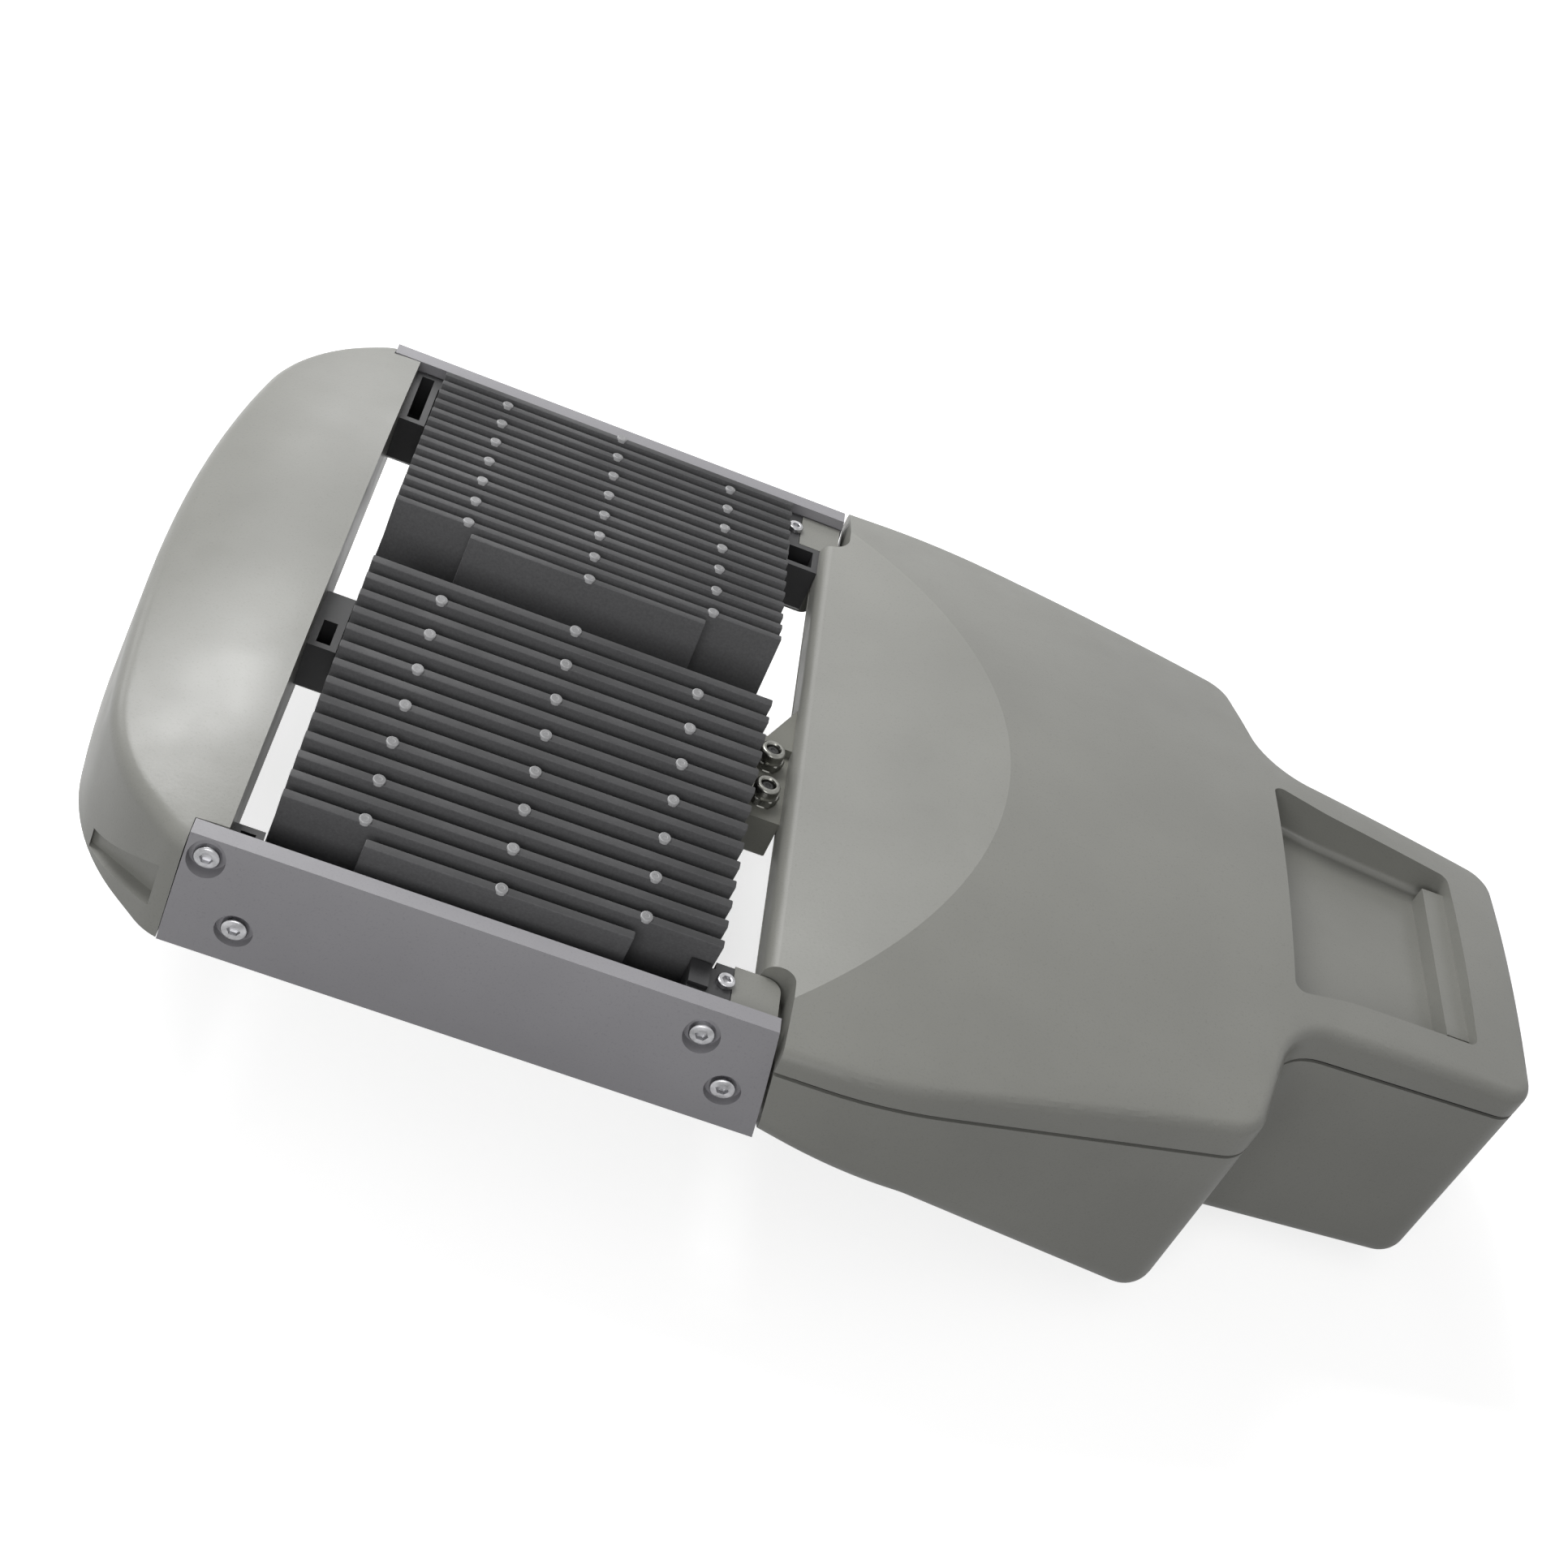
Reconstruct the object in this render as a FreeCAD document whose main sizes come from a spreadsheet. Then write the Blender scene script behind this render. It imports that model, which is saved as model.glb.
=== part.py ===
import FreeCAD
import Part
import Sketcher
import math
import os
import re
from FreeCAD import Placement, Rotation, Vector

# A street light head: two finned light modules in an open frame, a front cap, and a
# cast rear housing with a clamp socket for the lamp arm.
# The origin is the centre of the socket's mouth, +X points out along the arm, +Z is up.
# Left is the -Y side and right is the +Y side.

# Driving sizes in millimetres and degrees
SIZES = {
    # Frame
    "overall_width": 300,
    "bay_length": 166.5,
    "front_gap": 10.05,
    "rear_gap": 14.95,
    "housing_length": 279.5,
    "top_level": 50,
    "under_level": 10,
    "seam_level": 40,
    "fit_gap": 0.3,
    # Front cap
    "cap_length": 58,
    "cap_bow_radius": 600,
    "cap_side_end": 13,
    "cap_side_radius": 18,
    "cap_corner_inset": 28,
    "cap_corner_radius": 75,
    "cap_crown_height": 15,
    "cap_crown_across": 633,
    "cap_crown_along": 142,
    "cap_wall": 4,
    "cap_solid_end": 32,
    "cap_draft": 4.5,
    "cap_rib_count": 5,
    "cap_edge_radius": 7,
    "cap_scoop_depth": 4.5,
    "cap_scoop_length": 28.7,
    "cap_scoop_land": 5.2,
    "cap_scoop_low": 1.3,
    "cap_scoop_rise": 7.6,
    "cap_scoop_front_height": 6.7,
    "cap_scoop_rear_height": 15.5,
    "cap_lug_length": 10.3,
    # Side rails
    "rail_front_lap": 10,
    "rail_rear_lap": 7,
    "rail_rear_slant": 7,
    "notch_gap": 1,
    "rail_flange_width": 12.7,
    "rail_flange_thickness": 4,
    "rail_crease_inset": 6.5,
    "rail_bulge_radius": 92,
    "rail_wall": 5,
    "rail_boss_radius": 6.5,
    "ledge_gap": 0.75,
    "ledge_thickness": 3.5,
    # Rail screws
    "rail_screw_ring": 5.85,
    "rail_screw_sink": 2.6,
    "rail_screw_head": 4.1,
    "rail_screw_head_height": 2.4,
    "rail_screw_shank": 2.5,
    "rail_screw_length": 14,
    "screw_clearance": 0.25,
    "thread_gap": 0.1,
    "screw_front_x": 3.3,
    "screw_front_drop": 6.5,
    "screw_module_x": 10.8,
    "screw_module_drop": 27,
    "screw_rear_x": 14.5,
    "screw_rear_drop": 9,
    "screw_lug_x": 1.5,
    "screw_lug_drop": 25,
    # Cover plan, shared with the housing below it
    "taper_start_x": 46.5,
    "shoulder_x": 170.5,
    "shoulder_inset": 31.4,
    "shoulder_radius": 15,
    "taper_radius": 170,
    "throat_x": 183,
    "throat_half": 69.6,
    "throat_radius": 24,
    "neck_half": 59.6,
    "neck_corner_radius": 12,
    # Cover
    "cover_crown_height": 17,
    "cover_crown_x": 73.5,
    "cover_crown_across": 620,
    "cover_crown_along": 1852,
    "crescent_angle": 13.1,
    "cover_wall": 3,
    "cover_edge_radius": 5,
    "neck_seam_start": 47,
    "neck_seam_end": 42.5,
    "seam_ramp_start": 170,
    "seam_ramp_length": 14,
    # Recess in the top of the neck
    "recess_front_x": 97.3,
    "recess_waist_x": 75,
    "recess_rear_x": 22.8,
    "recess_front_half": 55.5,
    "recess_waist_half": 50,
    "recess_rear_half": 44.5,
    "recess_floor": 44.5,
    "recess_corner_radius": 4,
    "recess_waist_radius": 60,
    "recess_floor_radius": 3,
    "recess_bar_width": 8.7,
    "recess_bar_height": 7.5,
    "recess_bar_end": 6,
    # Rear housing
    "housing_wall": 4,
    "housing_floor_x": 9.5,
    "housing_knee_x": 65.5,
    "housing_knee_level": -4,
    "housing_deep_x": 168.5,
    "housing_deep_level": -41.5,
    "housing_end_level": -43,
    "housing_edge_radius": 10,
    "housing_knee_radius": 60,
    # Gasket
    "gasket_thickness": 1.5,
    "gasket_inset": 1.2,
    "gasket_width": 2.4,
    # Arm socket
    "socket_radius": 30.5,
    "socket_depth": 95,
    "socket_wall": 5,
    "mouth_wall": 7,
    # Heat sink modules
    "module_tilt": 7.4,
    "module_gap_half": 7.4,
    "module_margin": 28,
    "module_z": 30.5,
    "module_screw_margin": 18.75,
    "base_thickness": 5,
    "fin_height": 32,
    "fin_thickness": 2,
    "fin_end_margin": 3,
    "long_fin_count": 13,
    "short_fin_count": 2,
    "short_fin_margin": 29.75,
    "short_fin_taper": 9,
    "fin_margin": 3.75,
    "fin_boss_radius": 2.1,
    "fin_boss_height": 1.2,
    "fin_boss_spacing": 44.7,
    # Light unit under each module
    "frame_end_margin": 4.75,
    "frame_margin": 8,
    "frame_border": 9,
    "frame_skirt": 7,
    "frame_face": 2.6,
    "gasket_height": 2.6,
    "lens_thickness": 3.5,
    "lens_gap": 0.2,
    "board_margin": 13,
    "board_thickness": 1.6,
    "chip_size": 3.5,
    "chip_height": 0.8,
    "lens_rows": 4,
    "lens_columns": 5,
    "lens_margin_x": 3,
    "lens_margin_y": 2.5,
    "lens_land": 0.5,
    "window_lip": 2,
    "lens_dome_height": 4.5,
    "lens_pocket_radius": 5,
    "small_screw_head": 3,
    "small_screw_head_height": 2,
    "small_screw_shank": 1.6,
    "small_screw_bite": 4,
    "small_screw_clearance": 0.2,
    # Centre beam
    "beam_half": 13.5,
    "beam_thickness": 4,
    "beam_web": 3,
    "beam_depth": 6.5,
    # Brackets across the two gaps of the bay
    "bracket_wall": 2.5,
    "bracket_top": 46,
    "bracket_bottom": 26,
    "low_bracket_top": 36,
    "bracket_corner_reach": 34.2,
    "bracket_small_reach": 17.7,
    "bracket_bevel": 2,
    "ear_gap": 1,
    "ear_front_length": 17,
    "ear_bottom": 16,
    "rear_ear_length": 23,
    "rear_ear_width": 14.7,
    "ear_pad_length": 6.5,
    "ear_pad_width": 10,
    "ear_pad_height": 1.5,
    "bracket_screw_x": 11.1,
    "bracket_screw_inset": 10.1,
    "bracket_screw_depth": 8,
    "lug_length": 8.5,
    "lug_width": 18.7,
    "lug_corner_radius": 5,
    "front_centre_near": -39.5,
    "front_trough_far": -25,
    "front_centre_far": -10,
    "front_foot_far": 5,
    "foot_top": 34.5,
    "rear_centre_near": -42.5,
    "rear_centre_far": -2.6,
    "rear_brace_far": 16.8,
    "rear_brace_length": 9.4,
    # Cable glands on the rear centre bracket
    "gland_radius": 4.5,
    "gland_height": 7,
    "gland_stem_radius": 2.9,
    "gland_stem_length": 4.5,
    "gland_nut_radius": 5.5,
    "gland_nut_height": 3,
    "gland_near_y": -32,
    "gland_far_y": -13,
    # Driver and wiring inside the housing
    "driver_length": 118,
    "driver_width": 68,
    "driver_height": 26,
    "driver_x": 49,
    "driver_y": -12,
    "driver_level": 8,
    "surge_length": 46,
    "surge_width": 30,
    "surge_height": 24,
    "surge_x": 60,
    "surge_y": 62,
    "terminal_length": 22,
    "terminal_width": 40,
    "terminal_height": 18,
    "terminal_x": 150,
    "terminal_y": -70,
    "post_radius": 4,
    # Clamp bolts of the socket
    "clamp_bolt_radius": 5,
    "clamp_bolt_head": 8,
    "clamp_bolt_head_height": 6,
    "clamp_bolt_front": 70,
    "clamp_bolt_rear": 28,
    "clamp_boss_radius": 11,
    # Cover screws, reached from beneath
    "cover_screw_shank": 2.5,
    "cover_screw_head": 4.3,
    "cover_screw_head_height": 5,
    "cover_screw_boss": 7.5,
    "cover_screw_reach": 20,
    "cover_screw_seat": 6,
    "cover_screw_front_x": 24,
    "cover_screw_front_inset": 18,
    "cover_screw_rear_x": 158,
    "cover_screw_rear_inset": 46,
}

doc = FreeCAD.newDocument("StreetLightHead")
sheet = doc.addObject("Spreadsheet::Sheet", "Sizes")
for row, (alias, size) in enumerate(SIZES.items(), start=1):
    sheet.set(f"A{row}", alias)
    sheet.set(f"B{row}", str(size))
    sheet.setAlias(f"B{row}", alias)
doc.recompute()

NORMALS = {"XY": Vector(0, 0, 1), "XZ": Vector(0, 1, 0), "YZ": Vector(1, 0, 0)}
STEEPEST_DRAFT = math.radians(20)
SKETCH_TURNS = {
    "XY": Rotation(),
    "XZ": Rotation(Vector(1, 0, 0), 90),
    "YZ": Rotation(Vector(1, 1, 1), 120),
}


# Expressions
def words(text):
    """The expression with each size's name pointed at its cell."""
    text = str(text)
    return re.sub(r"[a-z]\w*", lambda m: f"Sizes.{m[0]}" if m[0] in SIZES else m[0], text)


def size(text):
    """The number that an expression of sizes comes to."""
    return float(sheet.evalExpression(words(text)))


def bind(target, prop, text):
    """Ties a property to an expression of sizes."""
    target.setExpression(prop, words(text))


# Sketches
def draw_outline(sketch, outline):
    """Draws a closed outline. Each corner is (x, y) or (x, y, radius), where the radius
    belongs to the arc towards the next corner, positive where it bulges outwards."""
    places = [Vector(size(corner[0]), size(corner[1]), 0) for corner in outline]
    ends = []
    radii = []
    for number, corner in enumerate(outline):
        start = places[number]
        stop = places[(number + 1) % len(places)]
        if len(corner) == 2:
            index = sketch.addGeometry(Part.LineSegment(start, stop), False)
            ends.append((index, 1, 2))
            continue
        radius = size(corner[2])
        chord = stop - start
        rise = abs(radius) - math.sqrt(radius ** 2 - (chord.Length / 2) ** 2)
        outward = Vector(chord.y, -chord.x, 0).normalize()
        middle = (start + stop) / 2 + outward * math.copysign(rise, radius)
        index = sketch.addGeometry(Part.Arc(start, middle, stop), False)
        ends.append((index, 1, 2) if radius > 0 else (index, 2, 1))
        radii.append((index, f"abs({corner[2]})", abs(radius)))
    for number, (index, first, last) in enumerate(ends):
        following = ends[(number + 1) % len(ends)]
        sketch.addConstraint(
            Sketcher.Constraint("Coincident", index, last, following[0], following[1]))
    for number, (index, first, last) in enumerate(ends):
        for kind, text, place in (("DistanceX", outline[number][0], places[number].x),
                                  ("DistanceY", outline[number][1], places[number].y)):
            made = sketch.addConstraint(
                Sketcher.Constraint(kind, -1, 1, index, first, place))
            bind(sketch, f"Constraints[{made}]", text)
    for index, text, radius in radii:
        made = sketch.addConstraint(Sketcher.Constraint("Radius", index, radius))
        bind(sketch, f"Constraints[{made}]", text)


def body_sketch(body, name, plane, level="0"):
    """A sketch on one of the body's own planes, moved along its normal."""
    sketch = body.newObject("Sketcher::SketchObject", name)
    origin = [part for part in body.Origin.OriginFeatures if part.Role == f"{plane}_Plane"][0]
    sketch.AttachmentSupport = [(origin, "")]
    sketch.MapMode = "FlatFace"
    turn = -1 if plane == "XZ" else 1
    bind(sketch, "AttachmentOffset.Base.z", f"{turn} * ({level})")
    return sketch


def pad(body, name, plane, outline, length, level="0", middle=False):
    """A pad of an outline in one of the body's planes, from the level along the normal."""
    sketch = body_sketch(body, name + "Sketch", plane, level)
    draw_outline(sketch, outline)
    feature = body.newObject("PartDesign::Pad", name)
    feature.Profile = sketch
    feature.Midplane = middle
    feature.Reversed = plane == "XZ" and not middle
    bind(feature, "Length", length)
    return feature


def rectangle(left, low, right, high):
    """The outline of a rectangle."""
    return [(left, low), (right, low), (right, high), (left, high)]


# Prisms, drawn as free sketches and drawn out square to their plane
def prism(name, plane, outline, low, high, inset=None, rounding=None, draft=None):
    """A prism from the low to the high level, with an inset outline, with walls that lean
    inwards by the draft, and with the edges at the numbered corners rounded."""
    sketch = doc.addObject("Sketcher::SketchObject", name + "Sketch")
    sketch.Placement = Placement(Vector(), SKETCH_TURNS[plane])
    draw_outline(sketch, outline)
    profile = sketch
    if inset is not None:
        profile = doc.addObject("Part::Offset2D", name + "Inset")
        profile.Source = sketch
        profile.Join = "Intersection"
        bind(profile, "Value", f"-({inset})")
    block = doc.addObject("Part::Extrusion", name + "Block")
    block.Base = profile
    block.DirMode = "Custom"
    block.Dir = NORMALS[plane]
    block.Solid = True
    bind(block, "LengthFwd", f"({high}) - ({low})")
    axis = {"XY": "z", "XZ": "y", "YZ": "x"}[plane]
    bind(block, f"Placement.Base.{axis}", low)
    if draft:
        bind(block, "TaperAngle", f"-({draft})")
    if not rounding:
        return block
    doc.recompute()
    normal = NORMALS[plane]
    long_edges = [(number, edge) for number, edge in enumerate(block.Shape.Edges, start=1)
                  if len(edge.Vertexes) == 2
                  and (edge.Vertexes[1].Point - edge.Vertexes[0].Point).getAngle(normal)
                  % math.pi < STEEPEST_DRAFT]
    reach = 0 if inset is None else size(inset)
    rounded = []
    for corner, radius in rounding.items():
        spot = SKETCH_TURNS[plane].multVec(
            Vector(size(outline[corner][0]), size(outline[corner][1]), 0))
        number, edge = min(
            long_edges,
            key=lambda item: (item[1].CenterOfMass - spot).cross(normal).Length)
        rounded.append((number, size(radius), size(radius)))
    fillet = doc.addObject("Part::Fillet", name)
    fillet.Base = block
    fillet.Edges = rounded
    return fillet


def joined(kind, name, pieces):
    """A boolean of several pieces: Fuse, Common, or Cut of the first by the others."""
    if kind == "Cut":
        result = pieces[0]
        for number, tool in enumerate(pieces[1:], start=1):
            cut = doc.addObject("Part::Cut", name if number == len(pieces) - 1 else f"{name}Cut{number}")
            cut.Base = result
            cut.Tool = tool
            result = cut
        return result
    result = doc.addObject("Part::MultiFuse" if kind == "Fuse" else "Part::MultiCommon", name)
    result.Shapes = pieces
    return result


def rounded_edges(name, base, radius, chosen):
    """The piece with the edges that the test picks rounded."""
    doc.recompute()
    fillet = doc.addObject("Part::Fillet", name)
    fillet.Base = base
    fillet.Edges = [(number, size(radius), size(radius))
                    for number, edge in enumerate(base.Shape.Edges, start=1) if chosen(edge)]
    return fillet


def shaped(name, shape):
    """A feature that holds a computed shape."""
    feature = doc.addObject("Part::Feature", name)
    feature.Shape = shape
    return feature


def rods(name, places, radius, length, direction):
    """Round rods, as drills or bosses: one from each place along the direction."""
    made = [Part.makeCylinder(radius, length, place, direction) for place in places]
    return shaped(name, Part.makeCompound(made))


def crown(name, peak_x, peak_level, across, along, half_width, depth):
    """A toroidal crown: an arc across the lamp, turned about a low axis along Y."""
    body = doc.addObject("PartDesign::Body", name)
    sketch = body.newObject("Sketcher::SketchObject", name + "Arc")
    origin = [part for part in body.Origin.OriginFeatures if part.Role == "YZ_Plane"][0]
    sketch.AttachmentSupport = [(origin, "")]
    sketch.MapMode = "FlatFace"
    bind(sketch, "AttachmentOffset.Base.z", peak_x)
    bind(sketch, "AttachmentOffset.Base.y", f"({peak_level}) - ({along})")
    sag = f"(({across}) - sqrt(({across})^2 - ({half_width})^2))"
    low = f"({along}) - ({depth})"
    draw_outline(sketch, [
        (f"-({half_width})", low),
        (f"{half_width}", low),
        (f"{half_width}", f"({along}) - {sag}", across),
        (f"-({half_width})", f"({along}) - {sag}"),
    ])
    turned = body.newObject("PartDesign::Revolution", name + "Turn")
    turned.Profile = sketch
    turned.ReferenceAxis = (sketch, ["H_Axis"])
    turned.Midplane = True
    turned.Angle = 2 * math.degrees(math.asin(min(0.95, 320 / size(along))))
    return body


# Places along the lamp
CAP_EDGE = "-(housing_length + bay_length)"
COVER_EDGE = "-housing_length"
HALF = "overall_width / 2"

# Along one module: the base plate fills the bay but for a gap at each end
BASE_LENGTH = "(bay_length - front_gap - rear_gap)"
MODULE_X = f"(front_gap + {BASE_LENGTH} / 2)"
FIN_LENGTH = f"({BASE_LENGTH} - 2 * fin_end_margin)"
SHORT_FIN_LENGTH = f"({BASE_LENGTH} - 2 * short_fin_margin)"
FRAME_LENGTH = f"({BASE_LENGTH} - 2 * frame_end_margin)"

# Across one module, from its middle: the base plate, the fins, the frame and its window
BASE_HALF = f"(({HALF} - module_margin) / 2)"
MODULE_Y = f"({BASE_HALF} * cos(module_tilt) + module_gap_half)"
FIRST_FIN_Y = f"({BASE_HALF} - fin_margin)"
FIN_PITCH = f"(2 * {FIRST_FIN_Y} / (long_fin_count + short_fin_count - 1))"
FRAME_HALF = f"({BASE_HALF} - frame_margin)"
WINDOW_X = f"({FRAME_LENGTH} / 2 - frame_border - window_lip)"
WINDOW_Y = f"({FRAME_HALF} - frame_border - window_lip)"
LENS_PITCH_X = f"(2 * ({WINDOW_X} + lens_land - lens_margin_x) / lens_columns)"
LENS_PITCH_Y = f"(2 * ({WINDOW_Y} + lens_land - lens_margin_y) / lens_rows)"
LENS_DOME = f"({LENS_PITCH_Y} / 2 - lens_land)"

# Across the bay: the brackets and lugs fit between the rails' flanges, the front ears
# clear the base plates, and the ledges clear the light units
BRACKET_OUTER = f"({HALF} - rail_flange_width - 2 * fit_gap)"
EAR_INNER = f"({MODULE_Y} + {BASE_HALF} * cos(module_tilt) + ear_gap)"
LEDGE_INNER = f"({MODULE_Y} + {FRAME_HALF} * cos(module_tilt) + ledge_gap)"
REAR_EAR_INNER = f"({BRACKET_OUTER} - rear_ear_width)"
LUG_INNER = f"({BRACKET_OUTER} - lug_width)"


# Front cap
CAP_CORNER_Y = f"({HALF} - cap_corner_inset)"
CAP_CORNER = f"(cap_length - cap_bow_radius + sqrt(cap_bow_radius^2 - {CAP_CORNER_Y}^2))"


def cap_plan():
    """Bowed front, rounded corners and short straight sides. It runs on past the inner
    edge, where the cap is cut off square."""
    rear = f"{CAP_EDGE} + cap_side_end"
    return [
        (rear, f"-({HALF})"),
        (rear, HALF),
        (f"{CAP_EDGE} - cap_side_end", HALF),
        (f"{CAP_EDGE} - {CAP_CORNER}", CAP_CORNER_Y, "cap_bow_radius"),
        (f"{CAP_EDGE} - {CAP_CORNER}", f"-{CAP_CORNER_Y}"),
        (f"{CAP_EDGE} - cap_side_end", f"-({HALF})"),
    ]


CAP_ROUNDING = {2: "cap_side_radius", 3: "cap_corner_radius",
                4: "cap_corner_radius", 5: "cap_side_radius"}


def cap_crown(name, sink):
    """The crowned top of the cap, lowered by the sink."""
    return crown(name, CAP_EDGE, f"top_level + cap_crown_height - ({sink})",
                 f"cap_crown_across - ({sink})", f"cap_crown_along - ({sink})",
                 f"{HALF} + 2 * cap_wall", "cap_crown_along / 2")


def front_cap():
    """A cast cap: crowned top, hollow and ribbed beneath, with lugs under the rails."""
    ceiling = "top_level + 2 * cap_crown_height"
    outside = joined("Common", "CapOutside", [
        prism("CapPlan", "XY", cap_plan(), "under_level", ceiling, rounding=CAP_ROUNDING,
              draft="cap_draft"),
        cap_crown("CapCrown", "0"),
        prism("CapSquare", "XY", rectangle(f"{CAP_EDGE} - 2 * cap_length", f"-({HALF})", CAP_EDGE, HALF),
              "under_level", ceiling),
    ])
    front = size(f"{CAP_EDGE} - 1")
    outside = rounded_edges(
        "CapRound", outside, "cap_edge_radius",
        lambda edge: edge.BoundBox.ZMin > size("under_level + 20")
        and edge.CenterOfMass.x < front and edge.BoundBox.ZLength < 15)
    scoops = cap_scoops()
    hollow = cap_hollow()
    notches = [
        prism("CapNotch" + word, "XY",
              rectangle(f"{CAP_EDGE} - cap_lug_length", low, f"{CAP_EDGE} + 1", high),
              "under_level - 1", ceiling)
        for word, low, high in (("Left", f"-({HALF}) - 1", f"-{BRACKET_OUTER}"),
                                ("Right", BRACKET_OUTER, f"{HALF} + 1"))]
    threads = rail_drills("CapThreads", "rail_screw_shank + thread_gap", RAIL_SCREWS[:1])
    return joined("Cut", "front_cap", [outside, scoops, hollow] + notches + [threads])


def cap_hollow():
    """The space under the cap's top, left in bays between ribs that run fore and aft."""
    hollow_half = f"{HALF} - cap_solid_end"
    depth = joined("Common", "CapHollow", [
        prism("CapInside", "XY", cap_plan(), "under_level", "top_level + 2 * cap_crown_height",
              inset="cap_wall", draft="cap_draft",
              rounding={2: "cap_side_radius - cap_wall", 3: "cap_corner_radius - cap_wall",
                        4: "cap_corner_radius - cap_wall", 5: "cap_side_radius - cap_wall"}),
        cap_crown("CapInnerCrown", "cap_wall"),
        prism("CapMiddle", "XY",
              rectangle(f"{CAP_EDGE} - cap_length", f"-({hollow_half})",
                        f"{CAP_EDGE} - cap_wall", hollow_half),
              "under_level", "top_level + 2 * cap_crown_height"),
    ])
    doc.recompute()
    pitch = size(f"2 * ({hollow_half}) / (cap_rib_count + 1)")
    ribs = []
    for number in range(1, int(size("cap_rib_count")) + 1):
        middle = number * pitch - size(hollow_half)
        ribs.append(Part.makeBox(
            size("cap_length"), size("cap_wall"), size("top_level"),
            Vector(size(f"{CAP_EDGE} - cap_length"), middle - size("cap_wall / 2"), size("under_level"))))
    return joined("Cut", "CapBays", [depth, shaped("CapRibs", Part.makeCompound(ribs))])


def cap_scoops():
    """Scoops in the two side walls just ahead of the rails, deep at the rail's end and
    running out to a low tip towards the front, each over a sloping ledge."""
    x_front = f"{CAP_EDGE} - cap_lug_length - cap_scoop_length"
    x_rear = f"{CAP_EDGE} - cap_lug_length - cap_scoop_land"
    low = "under_level + cap_scoop_low"
    wedge = prism("ScoopWedge", "XZ", [
        (x_front, low),
        (x_rear, f"{low} + cap_scoop_rise"),
        (x_rear, f"{low} + cap_scoop_rise + cap_scoop_rear_height"),
        (x_front, f"{low} + cap_scoop_front_height"),
    ], f"-({HALF})", HALF)
    core = prism("ScoopCore", "XY", cap_plan(), "under_level", "top_level",
                 inset="cap_scoop_depth", draft="cap_draft")
    return joined("Cut", "CapScoops", [wedge, core])


# Side rails
def rail_profile(side):
    """The outer wall: flat top flange, a crease, and a bulging face that leans outwards."""
    inner = f"{HALF} - rail_flange_width"
    crease = f"{HALF} - rail_crease_inset"
    outline = [
        (f"{HALF} - rail_wall", "under_level"),
        (HALF, "under_level", "rail_bulge_radius"),
        (crease, "top_level"),
        (inner, "top_level"),
        (inner, "top_level - rail_flange_thickness"),
        (f"{crease} - rail_wall", "top_level - rail_flange_thickness", "-rail_bulge_radius"),
    ]
    if side > 0:
        return outline
    return mirrored(outline)


def mirrored(outline):
    """The outline with its first coordinate turned over, still running anticlockwise."""
    flipped = []
    count = len(outline)
    for number in range(count):
        corner = outline[-number % count]
        before = outline[(-number - 1) % count]
        entry = [f"-({corner[0]})", corner[1]]
        if len(before) == 3:
            entry.append(before[2])
        flipped.append(tuple(entry))
    return flipped


def base_under(y):
    """The level of the underside of a heat sink's base at a distance from the middle."""
    return f"module_z - (({y}) - {MODULE_Y}) * tan(module_tilt)"


def side_rail(word, side):
    """One rail: an extruded wall with a sloping ledge inside that carries a module."""
    body = doc.addObject("PartDesign::Body", "Rail" + word)
    front = f"{CAP_EDGE} - rail_front_lap"
    length = "bay_length + rail_front_lap + rail_rear_lap"
    pad(body, "RailWall" + word, "YZ", rail_profile(side), f"{length} + rail_rear_slant", front)
    ledge_outer = f"{HALF} - rail_wall / 2"
    ledge = [
        (LEDGE_INNER, f"{base_under(LEDGE_INNER)} - ledge_thickness"),
        (ledge_outer, f"{base_under(ledge_outer)} - ledge_thickness"),
        (ledge_outer, base_under(ledge_outer)),
        (LEDGE_INNER, base_under(LEDGE_INNER)),
    ]
    pad(body, "RailLedge" + word, "YZ", ledge if side > 0 else mirrored(ledge),
        "bay_length - ear_front_length - rear_ear_length - 2 * fit_gap",
        f"{CAP_EDGE} + ear_front_length + fit_gap")
    rear = f"{front} + {length}"
    slant = prism("RailSlant" + word, "XZ", [
        (rear, "top_level + 1"),
        (f"{rear} + rail_rear_slant", "under_level"),
        (f"{rear} + rail_rear_slant", "under_level - 1"),
        (f"{rear} + 2 * rail_rear_slant", "under_level - 1"),
        (f"{rear} + 2 * rail_rear_slant", "top_level + 1"),
    ], f"-({HALF}) - 1", f"{HALF} + 1")
    bosses = rail_bosses("RailBosses" + word, side)
    wall = joined("Fuse", "RailBody" + word, [body, bosses])
    through = rail_drills("RailHoles" + word, "rail_screw_shank + screw_clearance", RAIL_SCREWS, side=side)
    rings = rail_drills("RailRings" + word, "rail_screw_ring", RAIL_SCREWS, side=side, ring=True)
    ledge_holes = shaped("LedgeHoles" + word, Part.makeCompound([
        module_shape(Part.makeCylinder(size("small_screw_shank + small_screw_clearance"), 12,
                                       Vector(x, y, -6)), side)
        for x, y in module_screw_spots(outer=True)]))
    return joined("Cut", "side_rail_" + word.lower(), [wall, slant, through, rings, ledge_holes])


# Screws through the rails, as (distance from the bay's end, drop below the top)
RAIL_SCREWS = [
    ("-(housing_length + bay_length) - screw_front_x", "top_level - screw_front_drop"),
    ("-(housing_length + bay_length) + screw_module_x", "top_level - screw_module_drop"),
    ("-housing_length - screw_rear_x", "top_level - screw_rear_drop"),
    ("-housing_length - screw_lug_x", "top_level - screw_lug_drop"),
]


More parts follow.
